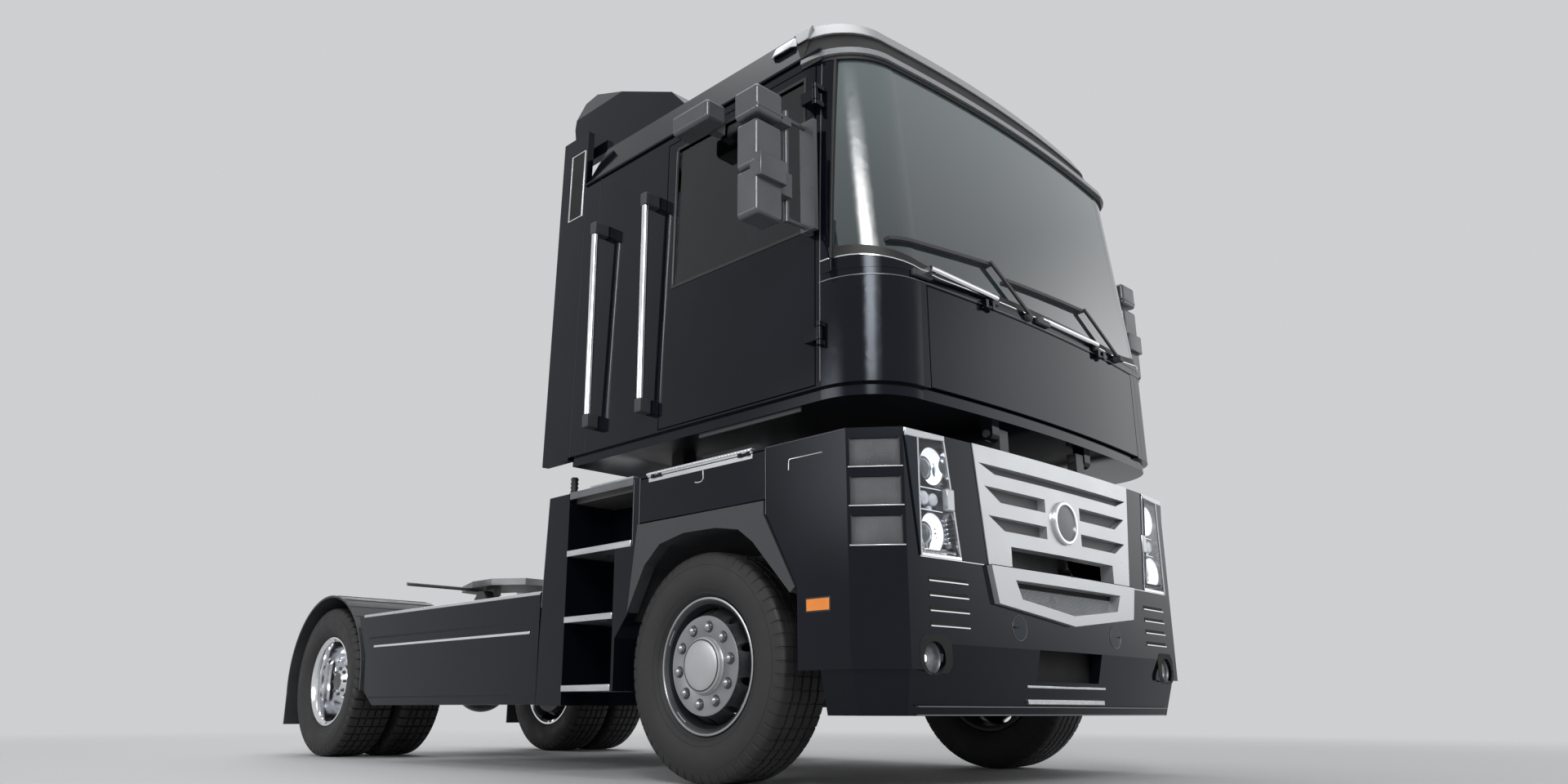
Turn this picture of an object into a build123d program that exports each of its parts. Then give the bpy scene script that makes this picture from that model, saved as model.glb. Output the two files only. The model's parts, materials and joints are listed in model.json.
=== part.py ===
"""Two-axle tractor unit with a tall cab that stands clear of a lower access module.

Units are millimetres. +X is the truck's left side, -Y its front, +Z up.
The origin is on the ground, at the middle of the length and of the width.
Lengths along the truck are written from the front axle (A1) or the rear axle (A2).
"""
from build123d import *
import math
import os

os.makedirs("parts", exist_ok=True)

# ---------------------------------------------------------------- overall sizes
WHEELBASE = 3900
FRONT_OVERHANG = 1120
REAR_OVERHANG = 800
BODY_WIDTH = 2500
LENGTH = FRONT_OVERHANG + WHEELBASE + REAR_OVERHANG
HALF = BODY_WIDTH / 2
A1 = FRONT_OVERHANG - LENGTH / 2
A2 = A1 + WHEELBASE
GAP = 6.0            # seam round a door, a lid or a flap
PIN_GAP = 0.05       # radial play of a pin or a spindle in its bore

# ---------------------------------------------------------------- wheels and axles
TYRE_R = 498
TYRE_W = 310
RIM_W = 240
FLANGE_R = 297
SEAT_R = 281
WELL_R = 266
RIM_WALL = 12
WHEEL_X = HALF - 170  # middle of the front tyre and of the outer rear tyre
TWIN_SPACING = 350
STUD_PCD = 335
DISC_R = 215
CAP_R = 124
HAND_HOLE_R = 20
HAND_HOLES = 10
HUB_R = 95
STUB_R = 45
KINGPIN_X = WHEEL_X - 150
KINGPIN_R = 22
EYE_R = 50
EYE_HEIGHT = 100
EAR_HEIGHT = 35
DRUM_R = 200
REAR_SPINDLE_R = 60
REAR_HUB_R = 130
AXLE_TUBE_R = 75
DIFF_R = 205

# ---------------------------------------------------------------- chassis frame
RAIL_OUT = 425       # outer face of a rail
RAIL_FLANGE = 75
RAIL_WEB = 12
RAIL_TOP = 980
RAIL_HEIGHT = 270
RAIL_FRONT = -880    # from the front axle
CROSS_DEPTH = 120
CROSS_HEIGHT = 170
CROSSMEMBERS = (-760, 1650, WHEELBASE - 1300)   # from the front axle
COUPLING_HOLE_R = 10.5
COUPLING_DX = 160
COUPLING_DZ = 100
RAIL_BOTTOM = RAIL_TOP - RAIL_HEIGHT
RAIL_IN = RAIL_OUT - RAIL_FLANGE

# ---------------------------------------------------------------- lower module
MODULE_TOP = 1400
MODULE_SEAM = 890    # joint between the bumper and what stands on it
PANEL = 45           # thickness of the outer panels
CHAMFER_Y = -875     # where the side wall turns into the corner, from A1
CORNER_X = HALF - 144  # where the corner meets the front
CORNER_Y = -1050
FRONT_BOW = 45       # how far the middle of the front stands ahead of its corners
MODULE_FRONT = CORNER_Y - FRONT_BOW
LID_FRONT = -422
LID_REAR = 427
LID_BOTTOM = 1174
LID_T = 22
LID_TOP = 1384
POST_FRONT = LID_REAR + GAP
DECK_Z = 1350
DECK_T = 30
DECK_HOLE_X = 430
COLUMN_REAR = 1240
COLUMN_FRONT = 1022
STEP_FRONT = 489
STEP_LOW_FRONT = 620
STEP_WELL_X = HALF - 320
STEP_T = 28
STEPS = ((426, STEP_LOW_FRONT), (762, STEP_LOW_FRONT), (1098, STEP_FRONT))   # top z, front y
LOWER_EDGE = 460     # bottom of the corner panels
VALANCE_BOTTOM = 290
VALANCE_INSET = 60
BUMPER_BEND = 560
BUMPER_X = HALF - 210

# ---------------------------------------------------------------- cab
CAB_BOTTOM = 1600    # lower edge of the cab walls
FLOOR_T = 50
FLOOR_Z = CAB_BOTTOM - FLOOR_T
FLOOR_INSET = 20
CAB_SHOULDER = 3200  # drip rail, where the roof starts
ROOF_EDGE = CAB_SHOULDER + 240
ROOF_TOP = CAB_SHOULDER + 360
TUMBLE = 35          # how far the side walls lean in at the drip rail
ROOF_EDGE_IN = 85
ROOF_EDGE_BACK = 155 # how far the roof's front edge lies behind the inset
ROOF_TOP_IN = 330
CAB_FRONT = -1050
CAB_BOW = 45
CAB_CORNER_R = 300
CAB_REAR = 1060
CAB_WALL = 45
GLASS_T = 8
GLASS_SET = 8        # how deep the glass lies behind the wall's face
DOOR_FRONT = -714
DOOR_REAR = 307
DOOR_BOTTOM = CAB_BOTTOM + 15
DOOR_TOP = CAB_SHOULDER - 50
WINDOW = ((-640, 2345), (235, 2345), (225, DOOR_TOP - 55), (-650, DOOR_TOP - 55))
SCREEN_BOTTOM = 2110
SCREEN_TOP = CAB_SHOULDER - 35
SCREEN_RAKE = 115      # how far the front leans back between the screen's foot and the drip rail
SCREEN_REAR = -800   # where the screen ends on the side, from A1
FLAP_X = 900
FLAP_BOTTOM = CAB_BOTTOM + GAP
FLAP_TOP = 2055
BULKHEAD_Y = -985
BULKHEAD_X = HALF - 150
TILT_Y = -1000       # axis of the cab's tilt, from A1
TILT_Z = FLOOR_Z - 50
DOOR_PIN_X = HALF + 16    # door hinge axis
DOOR_PIN_Y = -760
DOOR_EYE_R = 13
HINGE_PIN_R = 6
DOOR_HINGES = (DOOR_BOTTOM + 185, DOOR_TOP - 220)   # low z of each door hinge eye
DOOR_HINGE_H = 55
FLAP_PIN_Y = -1100
FLAP_HINGES = (-500, 500)
LID_PIN_X = HALF + 6
LID_HINGES = (-300, 300)
SMALL_EYE_R = 8
NOTCH = 12           # depth of a lid's cut-out around its hinge lugs
SMALL_PIN_R = 4
LUG_T = 20
TILT_PIN_R = 18
TILT_LUG_X = (375, 430)
DEFLECTOR_REAR = 1300
DEFLECTOR_T = 40
DEFLECTOR_TOP = ROOF_TOP
SPOILER_X = HALF - 130
SPOILER_TOP = ROOF_TOP + 369
SPOILER = ((300, ROOF_EDGE), (420, ROOF_TOP + 10), (1197, SPOILER_TOP), (1300, SPOILER_TOP - 24),
           (1335, SPOILER_TOP - 209), (1290, ROOF_EDGE))

# ---------------------------------------------------------------- rear end
FIFTH_Y = WHEELBASE - 600   # from the front axle
FIFTH_TOP = 1200
FIFTH_T = 45
FIFTH_PIVOT_Z = 1100
FIFTH_PIN_R = 20
KINGPIN_HOLE_R = 25.6
SKIRT_FRONT = 1250
SKIRT_REAR = WHEELBASE - 500
SKIRT_TOP = 905
SKIRT_BOTTOM = 335
FENDER_R = 600
FENDER_T = 14
FENDER_IN = HALF - 690


# ---------------------------------------------------------------- helpers
def block(x, y, z, mode=Mode.ADD):
    """A box between two x, two y and two z values."""
    with Locations(((x[0] + x[1]) / 2, (y[0] + y[1]) / 2, (z[0] + z[1]) / 2)):
        Box(abs(x[1] - x[0]), abs(y[1] - y[0]), abs(z[1] - z[0]), mode=mode)


def rod_x(x, y, z, radius, mode=Mode.ADD):
    """A round bar along X."""
    with Locations(Location(((x[0] + x[1]) / 2, y, z), (0, 90, 0))):
        Cylinder(radius, abs(x[1] - x[0]), mode=mode)


def rod_y(x, y, z, radius, mode=Mode.ADD):
    """A round bar along Y."""
    with Locations(Location((x, (y[0] + y[1]) / 2, z), (90, 0, 0))):
        Cylinder(radius, abs(y[1] - y[0]), mode=mode)


def rod_z(x, y, z, radius, mode=Mode.ADD):
    """A round bar along Z."""
    with Locations((x, y, (z[0] + z[1]) / 2)):
        Cylinder(radius, abs(z[1] - z[0]), mode=mode)


def side_plate(outline, x, mode=Mode.ADD):
    """A plate whose (y, z) outline is given from A1, between two x values."""
    low = min(x)
    with BuildSketch(Plane.YZ.offset(low)) as face:
        Polygon(*[(A1 + y, z) for y, z in outline], align=None)
    extrude(face.sketch, amount=max(x) - low, mode=mode)


def front_plate(outline, y, mode=Mode.ADD):
    """A plate whose (x, z) outline is given, between two y values."""
    high = max(y)
    with BuildSketch(Plane.XZ.offset(-high)) as face:
        Polygon(*outline, align=None)
    extrude(face.sketch, amount=high - min(y), mode=mode)


def module_plan(z, inset, rear):
    """Plan of the lower module at height z, closed behind at rear."""
    with BuildSketch(Plane.XY.offset(z)) as plan:
        with BuildLine():
            side = HALF - inset
            corner = CORNER_X - inset * 0.68
            y_corner = A1 + CORNER_Y + inset * 0.97
            Polyline((-corner, y_corner), (-side, A1 + CHAMFER_Y + inset * 0.36), (-side, rear),
                     (side, rear), (side, A1 + CHAMFER_Y + inset * 0.36), (corner, y_corner))
            ThreePointArc((corner, y_corner), (0, A1 + MODULE_FRONT + inset), (-corner, y_corner))
        make_face()
    return plan.sketch


def module_ring(z, outer, inner, rear):
    """Wall of the lower module between two heights and two insets, open behind."""
    extrude(module_plan(z[0], outer, rear), amount=z[1] - z[0])
    extrude(module_plan(z[0], inner, rear + 1), amount=z[1] - z[0], mode=Mode.SUBTRACT)


def cab_plan(z, inset, lean=0.0, back=0.0):
    """Plan of the cab at height z, with its bowed front and its large front corners."""
    with BuildSketch(Plane.XY.offset(z)) as plan:
        side = HALF - lean - inset
        front = A1 + CAB_FRONT + inset + back
        radius = CAB_CORNER_R
        rear = A1 + CAB_REAR - inset
        with BuildLine():
            Line((-side, rear), (-side, front + radius))
            RadiusArc((-side, front + radius), (-side + radius, front), -radius)
            ThreePointArc((-side + radius, front), (0, front - CAB_BOW), (side - radius, front))
            RadiusArc((side - radius, front), (side, front + radius), -radius)
            Polyline((side, front + radius), (side, rear), (-side, rear))
        make_face()
    return plan.sketch


def cab_lean(z):
    """How far the side wall has leaned in at height z."""
    return TUMBLE * (z - CAB_BOTTOM) / (CAB_SHOULDER - CAB_BOTTOM)


def cab_back(z):
    """How far the front has raked back at height z."""
    return SCREEN_RAKE * max(0, z - SCREEN_BOTTOM) / (CAB_SHOULDER - SCREEN_BOTTOM)


def cab_block(z, inset, mode=Mode.ADD):
    """The body of the cab between two heights below the drip rail, shrunk by inset."""
    levels = (z[0], SCREEN_BOTTOM, z[1]) if z[0] < SCREEN_BOTTOM < z[1] else z
    sections = [cab_plan(level, inset, cab_lean(level), cab_back(level)) for level in levels]
    loft(sections, ruled=True, mode=mode)


def roof_block(inset, mode=Mode.ADD):
    """The roof above the drip rail, shrunk by inset."""
    rail = cab_plan(CAB_SHOULDER, inset, TUMBLE, SCREEN_RAKE)
    edge = cab_plan(ROOF_EDGE - inset, ROOF_EDGE_IN + inset, TUMBLE, ROOF_EDGE_BACK)
    top = cab_plan(ROOF_TOP - inset, ROOF_TOP_IN + inset, TUMBLE, ROOF_EDGE_BACK)
    loft([rail, edge], ruled=True, mode=mode)
    loft([edge, top], ruled=True, mode=mode)


def cab_skin(z, outer, inner):
    """A wall of the cab between two heights, from one inset to another."""
    cab_block(z, outer)
    cab_block(z, inner, mode=Mode.SUBTRACT)


HALF_RIM = RIM_W / 2
RIM_SEAT = ((-HALF_RIM, FLANGE_R), (-HALF_RIM + RIM_WALL, FLANGE_R), (-HALF_RIM + 22, SEAT_R),
            (-35, WELL_R), (65, WELL_R), (HALF_RIM - 22, SEAT_R), (HALF_RIM - RIM_WALL, FLANGE_R),
            (HALF_RIM, FLANGE_R))
RIM_BORE = ((HALF_RIM - 2, FLANGE_R - RIM_WALL), (HALF_RIM - 16, SEAT_R - RIM_WALL - 1),
            (68, WELL_R - RIM_WALL), (-38, WELL_R - RIM_WALL), (-HALF_RIM + 16, SEAT_R - RIM_WALL - 1),
            (-HALF_RIM + 2, FLANGE_R - RIM_WALL))
HALF_TYRE = TYRE_W / 2
TYRE_SHAPE = ((HALF_RIM - RIM_WALL, FLANGE_R), (HALF_TYRE - 18, FLANGE_R + 45), (HALF_TYRE, TYRE_R - 105),
              (HALF_TYRE - 4, TYRE_R - 50), (HALF_TYRE - 18, TYRE_R - 14), (HALF_TYRE - 40, TYRE_R),
              (-HALF_TYRE + 40, TYRE_R), (-HALF_TYRE + 18, TYRE_R - 14), (-HALF_TYRE + 4, TYRE_R - 50),
              (-HALF_TYRE, TYRE_R - 105), (-HALF_TYRE + 18, FLANGE_R + 45))


def ring(side, wheel_x, y, shape, mode=Mode.ADD):
    """A body turned about a wheel's axis from its (outwards, radius) outline."""
    face = Plane(origin=(side * wheel_x, y, TYRE_R), x_dir=(side, 0, 0), z_dir=(0, -side, 0))
    with BuildSketch(face) as profile:
        Polygon(*shape, align=None)
    revolve(profile.sketch, axis=Axis((0, y, TYRE_R), (1, 0, 0)), mode=mode)


def tyre(side, wheel_x, y):
    """A tyre that fills its rim's outer side."""
    ring(side, wheel_x, y, TYRE_SHAPE + RIM_SEAT[1:-1])


def save(piece, name):
    """Label a finished part and write its STEP file."""
    piece.label = name
    export_step(piece, f"parts/{name}.step")


SIDES = ((-1, "right"), (1, "left"))


# ---------------------------------------------------------------- chassis frame
def frame_rail(side):
    x_out = side * RAIL_OUT
    x_web = side * (RAIL_OUT - RAIL_WEB)
    x_in = side * RAIL_IN
    y = (A1 + RAIL_FRONT, A2 + REAR_OVERHANG - CROSS_DEPTH / 3)
    block((x_web, x_out), y, (RAIL_BOTTOM, RAIL_TOP))
    for z in (RAIL_BOTTOM, RAIL_TOP - RAIL_WEB):
        block((x_in, x_out), y, (z, z + RAIL_WEB))


CARRIER_X = HALF - 350
OUTRIGGERS = (1150, 1400, WHEELBASE - 900)
OUTRIGGER_Z = (760, 830)
TAIL_Y = A2 + REAR_OVERHANG - CROSS_DEPTH / 3

with BuildPart() as chassis_frame:
    for side, _ in SIDES:
        frame_rail(side)
    for place in CROSSMEMBERS:
        block((-RAIL_OUT + RAIL_WEB, RAIL_OUT - RAIL_WEB), (A1 + place, A1 + place + CROSS_DEPTH),
              (RAIL_BOTTOM, RAIL_BOTTOM + CROSS_HEIGHT))
    block((-RAIL_OUT + RAIL_WEB, RAIL_OUT - RAIL_WEB), (A2 - CROSS_DEPTH / 2, A2 + CROSS_DEPTH / 2),
          (RAIL_TOP - CROSS_HEIGHT, RAIL_TOP))
    block((-RAIL_OUT, RAIL_OUT), (TAIL_Y, A2 + REAR_OVERHANG), (RAIL_BOTTOM, RAIL_TOP))
    for side, _ in SIDES:
        for place in OUTRIGGERS:
            reach = STEP_WELL_X if place < COLUMN_REAR else HALF - PANEL
            block((side * RAIL_OUT, side * reach), (A1 + place, A1 + place + 60), OUTRIGGER_Z)
    with Locations(Location((0, A2 + REAR_OVERHANG, (RAIL_BOTTOM + RAIL_TOP) / 2), (-90, 0, 0))):
        with GridLocations(COUPLING_DX, COUPLING_DZ, 2, 2):
            Hole(COUPLING_HOLE_R, depth=CROSS_DEPTH)
    block((-CARRIER_X, CARRIER_X), (A1 + RAIL_FRONT - 60, A1 + RAIL_FRONT), (RAIL_BOTTOM, RAIL_BOTTOM + 150))
    for side, _ in SIDES:
        block((side * 640, side * 720), (A1 + RAIL_FRONT - 125, A1 + RAIL_FRONT - 60),
              (RAIL_BOTTOM, RAIL_BOTTOM + 150))
save(chassis_frame.part, "chassis_frame")

ENGINE_X = 320
ENGINE_Z = (600, 1320)
ENGINE_Y = (-620, 640)
with BuildPart() as engine_block:
    block((-ENGINE_X, ENGINE_X), (A1 + ENGINE_Y[0], A1 + ENGINE_Y[1]), ENGINE_Z)
    for side, _ in SIDES:
        for place in (-400, 400):
            block((side * ENGINE_X, side * (RAIL_OUT - RAIL_WEB)), (A1 + place - 60, A1 + place + 60),
                  (RAIL_BOTTOM + 60, RAIL_TOP - 60))
save(engine_block.part, "engine_block")

GEARBOX_END = 1560
SHAFT_R = 60
with BuildPart() as drive_line:
    rod = Plane(origin=(0, A1 + ENGINE_Y[1], TYRE_R + 270), z_dir=(0, 1, 0))
    with BuildSketch(rod):
        Circle(190)
    with BuildSketch(rod.offset(GEARBOX_END - ENGINE_Y[1] - 300)):
        Circle(150)
    loft(ruled=True)
    block((-RAIL_OUT + RAIL_WEB, RAIL_OUT - RAIL_WEB), (A1 + 1060, A1 + 1140), (RAIL_BOTTOM + 30, RAIL_BOTTOM + 110))
    with BuildSketch(Plane(origin=(0, A1 + GEARBOX_END - 300, TYRE_R + 170), z_dir=(0, 1, 0))):
        Circle(SHAFT_R)
    with BuildSketch(Plane(origin=(0, A2 - DIFF_R - 90, TYRE_R), z_dir=(0, 1, 0))):
        Circle(SHAFT_R)
    loft(ruled=True)
save(drive_line.part, "drive_line")

RADIATOR_Y = (-860, -780)
RADIATOR_X = 335
with BuildPart() as radiator:
    block((-RADIATOR_X, RADIATOR_X), (A1 + RADIATOR_Y[0], A1 + RADIATOR_Y[1]), (RAIL_BOTTOM + RAIL_WEB, DECK_Z))
save(radiator.part, "radiator")

# ---------------------------------------------------------------- axles and suspension
BEAM_Z = (TYRE_R - 130, TYRE_R - 40)
BEAM_HALF_Y = 50
with BuildPart() as front_axle:
    beam_end = KINGPIN_X - EYE_R + 5
    with BuildSketch(Plane.XZ.offset(-A1 - BEAM_HALF_Y)) as beam:
        drop = KINGPIN_X - 290
        Polygon((-beam_end, TYRE_R + 40), (-drop, BEAM_Z[1]), (drop, BEAM_Z[1]), (beam_end, TYRE_R + 40),
                (beam_end, TYRE_R - 45), (drop, BEAM_Z[0]), (-drop, BEAM_Z[0]), (-beam_end, TYRE_R - 45),
                align=None)
    extrude(beam.sketch, amount=2 * BEAM_HALF_Y)
    for side, _ in SIDES:
        rod_z(side * KINGPIN_X, A1, (TYRE_R - EYE_HEIGHT / 2, TYRE_R + EYE_HEIGHT / 2), EYE_R)
    for side, _ in SIDES:
        rod_z(side * KINGPIN_X, A1, (TYRE_R - EYE_HEIGHT, TYRE_R + EYE_HEIGHT), KINGPIN_R + PIN_GAP,
              mode=Mode.SUBTRACT)
save(front_axle.part, "front_axle")

SPINDLE_END = WHEEL_X + 10
AXLE_END = WHEEL_X - 290
with BuildPart() as rear_axle:
    rod_x((-AXLE_END, AXLE_END), A2, TYRE_R, AXLE_TUBE_R)
    rod_x((-SPINDLE_END, SPINDLE_END), A2, TYRE_R, REAR_SPINDLE_R)
    with Locations((0, A2, TYRE_R)):
        Sphere(DIFF_R)
    for side, _ in SIDES:
        rod_x((side * (AXLE_END - 180), side * AXLE_END), A2, TYRE_R, DRUM_R)
    with Locations(Location((0, A2 - DIFF_R - 20, TYRE_R), (90, 0, 0))):
        Cylinder(80, 140)
save(rear_axle.part, "rear_axle")

SPRING_X = (352, 432)
BAG_R = 95
BAG_Y = 420
with BuildPart() as springs:
    for side, _ in SIDES:
        x = (side * SPRING_X[0], side * SPRING_X[1])
        for level, reach in enumerate((760, 560, 360)):
            low = BEAM_Z[1] + 80 - 25 * level
            block(x, (A1 - reach, A1 + reach), (low, low + 25))
        block(x, (A1 - 90, A1 + 90), (BEAM_Z[1], BEAM_Z[1] + 40))
        for end in (-760, 700):
            block(x, (A1 + end, A1 + end + 60), (BEAM_Z[1] + 80, RAIL_BOTTOM))
    for side, _ in SIDES:
        middle = side * (RAIL_OUT - 40)
        block((middle - 45, middle + 45), (A2 - BAG_Y - 60, A2 + BAG_Y + 60), (TYRE_R + 62, TYRE_R + 112))
        for end in (-BAG_Y, BAG_Y):
            rod_z(middle, A2 + end, (TYRE_R + 112, RAIL_BOTTOM), BAG_R)
    rod_x((-AXLE_END, AXLE_END), A2, TYRE_R, AXLE_TUBE_R, mode=Mode.SUBTRACT)
save(springs.part, "springs")

# ---------------------------------------------------------------- steered wheels
EAR_Z = EYE_HEIGHT / 2 + 5
WEB_IN = 60
for side, name in SIDES:
    with BuildPart() as knuckle:
        for z in (TYRE_R - EAR_Z - EAR_HEIGHT, TYRE_R + EAR_Z):
            rod_z(side * KINGPIN_X, A1, (z, z + EAR_HEIGHT), EYE_R - 4)
            block((side * KINGPIN_X, side * (KINGPIN_X + WEB_IN + 12)), (A1 - 46, A1 + 46), (z, z + EAR_HEIGHT))
        block((side * (KINGPIN_X + WEB_IN), side * (KINGPIN_X + WEB_IN + 20)), (A1 - 46, A1 + 46),
              (TYRE_R - EAR_Z - EAR_HEIGHT, TYRE_R + EAR_Z + EAR_HEIGHT))
        rod_z(side * KINGPIN_X, A1, (TYRE_R - EAR_Z - EAR_HEIGHT, TYRE_R + EAR_Z + EAR_HEIGHT), KINGPIN_R)
        rod_x((side * (KINGPIN_X + WEB_IN), side * (WHEEL_X + 70)), A1, TYRE_R, STUB_R)
        rod_x((side * (KINGPIN_X + WEB_IN + 8), side * (WHEEL_X - 35)), A1, TYRE_R, DRUM_R)
    save(knuckle.part, f"knuckle_{name}")

    with BuildPart() as front_rim:
        ring(side, WHEEL_X, A1, RIM_SEAT + RIM_BORE)
        disc_out = HALF_RIM + 5
        disc_t = 12
        ring(side, WHEEL_X, A1, ((30, WELL_R - 6), (disc_out, DISC_R), (disc_out, CAP_R),
                                 (disc_out + 26, CAP_R - 12), (disc_out + 30, 0.0),
                                 (75, 0.0), (75, STUB_R + PIN_GAP), (-30, STUB_R + PIN_GAP), (-30, HUB_R),
                                 (disc_out - disc_t, HUB_R), (disc_out - disc_t, DISC_R - 8),
                                 (14, WELL_R - 6)))
        with Locations(Location((side * (WHEEL_X + 60), A1, TYRE_R), (0, 90, 0))):
            with PolarLocations((DISC_R + WELL_R) / 2 - 6, HAND_HOLES):
                Cylinder(HAND_HOLE_R, 140, mode=Mode.SUBTRACT)
    save(front_rim.part, f"front_rim_{name}")

    with BuildPart() as front_tyre:
        tyre(side, WHEEL_X, A1)
    save(front_tyre.part, f"front_tyre_{name}")

# ---------------------------------------------------------------- twin rear wheels
INNER_X = WHEEL_X - TWIN_SPACING
MID_X = TWIN_SPACING / 2     # from the outer wheel's middle in to the discs' joint
for side, name in SIDES:
    with BuildPart() as rear_rims:
        ring(side, WHEEL_X, A2, RIM_SEAT + RIM_BORE)
        ring(side, INNER_X, A2, RIM_SEAT + RIM_BORE)
        ring(side, WHEEL_X, A2, ((-MID_X, REAR_HUB_R), (-MID_X, DISC_R), (-96, WELL_R + 2), (-80, WELL_R + 2),
                                 (-MID_X + 14, DISC_R - 6), (-MID_X + 14, REAR_HUB_R)))
        ring(side, INNER_X, A2, ((MID_X, REAR_HUB_R), (MID_X, DISC_R), (96, WELL_R + 2), (80, WELL_R + 2),
                                 (MID_X - 14, DISC_R - 6), (MID_X - 14, REAR_HUB_R)))
        ring(side, WHEEL_X, A2, ((-MID_X - 100, REAR_SPINDLE_R + PIN_GAP), (-MID_X - 100, REAR_HUB_R),
                                 (-30, REAR_HUB_R), (-10, REAR_HUB_R - 20), (30, REAR_HUB_R - 25),
                                 (60, 60.0), (60, 0.0), (15, 0.0), (15, REAR_SPINDLE_R + PIN_GAP)))
    save(rear_rims.part, f"rear_rims_{name}")

    with BuildPart() as rear_tyres:
        tyre(side, WHEEL_X, A2)
        tyre(side, INNER_X, A2)
    save(rear_tyres.part, f"rear_tyres_{name}")

# ---------------------------------------------------------------- lower module: inner frame
POST_X = (RAIL_OUT - 70, RAIL_OUT)
with BuildPart() as module_frame:
    extrude(module_plan(DECK_Z, PANEL, A1 + COLUMN_REAR - 10), amount=DECK_T)
    block((-DECK_HOLE_X, DECK_HOLE_X), (A1 - 770, A1 + COLUMN_FRONT), (DECK_Z - 1, DECK_Z + DECK_T + 1),
          mode=Mode.SUBTRACT)
    for side, _ in SIDES:
        lid_side = (side * (HALF - PANEL - GAP), side * HALF)
        block(lid_side, (A1 + LID_FRONT - GAP, A1 + LID_REAR + GAP), (DECK_Z - 1, DECK_Z + DECK_T + 1),
              mode=Mode.SUBTRACT)
        for place in (-850, 1080):
            block((side * POST_X[0], side * POST_X[1]), (A1 + place, A1 + place + 70), (RAIL_TOP, DECK_Z))
        block((side * 300, side * (TILT_LUG_X[0] - GAP)), (A1 + TILT_Y - 25, A1 + TILT_Y + 25),
              (DECK_Z, TILT_Z + 28))
        rod_x((side * 290, side * (TILT_LUG_X[1] + 10)), A1 + TILT_Y, TILT_Z, TILT_PIN_R)
        block((side * 480, side * 580), (A1 + 900, A1 + 1000), (DECK_Z, FLOOR_Z - GAP))
save(module_frame.part, "module_frame")

# ---------------------------------------------------------------- lower module: front
GRILLE_TOP_X = 675
GRILLE_LOW_X = 604
LAMP_LOW_X = (CORNER_X - 325, CORNER_X - 70)
LAMP_TOP_X = (CORNER_X - 245, CORNER_X)
FAR = A1 + MODULE_FRONT - 60      # well ahead of the module
NEAR = A1 + CORNER_Y + 260        # well behind its front wall


def wedge(low_x, top_x, spare=0):
    """Upright trapezoid of the module's front: half widths at its seam and at its top."""
    slope = (top_x - low_x) / (MODULE_TOP - MODULE_SEAM)
    low = low_x - slope * spare
    top = top_x + slope * spare
    return ((-low, MODULE_SEAM - spare), (low, MODULE_SEAM - spare), (top, MODULE_TOP + spare),
            (-top, MODULE_TOP + spare))


ARCH = ((501, 754), (380, 965), (270, 1055), (100, 1088), (-115, 1086), (-260, 1062), (-350, 998),
        (-566, 769))
ARCH_FRONT_LOW = -600

INTAKES = (1298, 1142, 986)   # heights of the corner intakes
INTAKE_SIZE = (200, 115)
with BuildPart() as front_panels:
    module_ring((LOWER_EDGE, MODULE_TOP), 0, PANEL, A1 + LID_FRONT - GAP)
    block((-BUMPER_X, BUMPER_X), (FAR, NEAR), (LOWER_EDGE - 5, MODULE_SEAM), mode=Mode.SUBTRACT)
    with BuildSketch(Plane.XZ.offset(-NEAR)) as lamp_faces:
        for side, _ in SIDES:
            low, top = LAMP_LOW_X, LAMP_TOP_X
            Polygon((side * low[0], MODULE_SEAM), (side * low[1], MODULE_SEAM), (side * top[1], MODULE_TOP),
                    (side * top[0], MODULE_TOP), align=None)
        Polygon(*wedge(GRILLE_LOW_X, GRILLE_TOP_X), align=None)
    extrude(lamp_faces.sketch, amount=NEAR - FAR, mode=Mode.SUBTRACT)
    wheel_cut = ((ARCH_FRONT_LOW, 0), (ARCH_FRONT_LOW, 790), (LID_FRONT - GAP, 1105), (0, 1105), (0, 0))
    side_plate(wheel_cut, (-HALF - 5, HALF + 5), mode=Mode.SUBTRACT)
    for side, _ in SIDES:
        block((side * (HALF - PANEL), side * HALF), (A1 + LID_FRONT - GAP, A1 + POST_FRONT),
              (LID_TOP + GAP, MODULE_TOP))
        for place in LID_HINGES:
            for shift in (-LUG_T - GAP, LUG_T + GAP):
                y = (A1 + place + shift - LUG_T / 2, A1 + place + shift + LUG_T / 2)
                block((side * (HALF - 10), side * (LID_PIN_X + SMALL_EYE_R)), y,
                      (LID_TOP - SMALL_EYE_R, MODULE_TOP))
                block((side * (HALF - 12), side * (HALF + 1)), y, (LID_TOP - SMALL_EYE_R - 1, LID_TOP + GAP),
                      mode=Mode.SUBTRACT)
            rod_y(side * LID_PIN_X, (A1 + place - 2 * LUG_T, A1 + place + 2 * LUG_T), LID_TOP, SMALL_PIN_R)
    for side, _ in SIDES:
        corner = Plane(origin=(side * (HALF + CORNER_X) / 2, A1 + (CHAMFER_Y + CORNER_Y) / 2, 0),
                       x_dir=(side * (CORNER_X - HALF), CORNER_Y - CHAMFER_Y, 0),
                       z_dir=(side * (CHAMFER_Y - CORNER_Y), CORNER_X - HALF, 0))
        with BuildSketch(corner) as intakes:
            for level in INTAKES:
                with Locations((0, level)):
                    Rectangle(*INTAKE_SIZE)
        extrude(intakes.sketch, amount=-25, both=False, mode=Mode.SUBTRACT)
save(front_panels.part, "front_panels")

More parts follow.
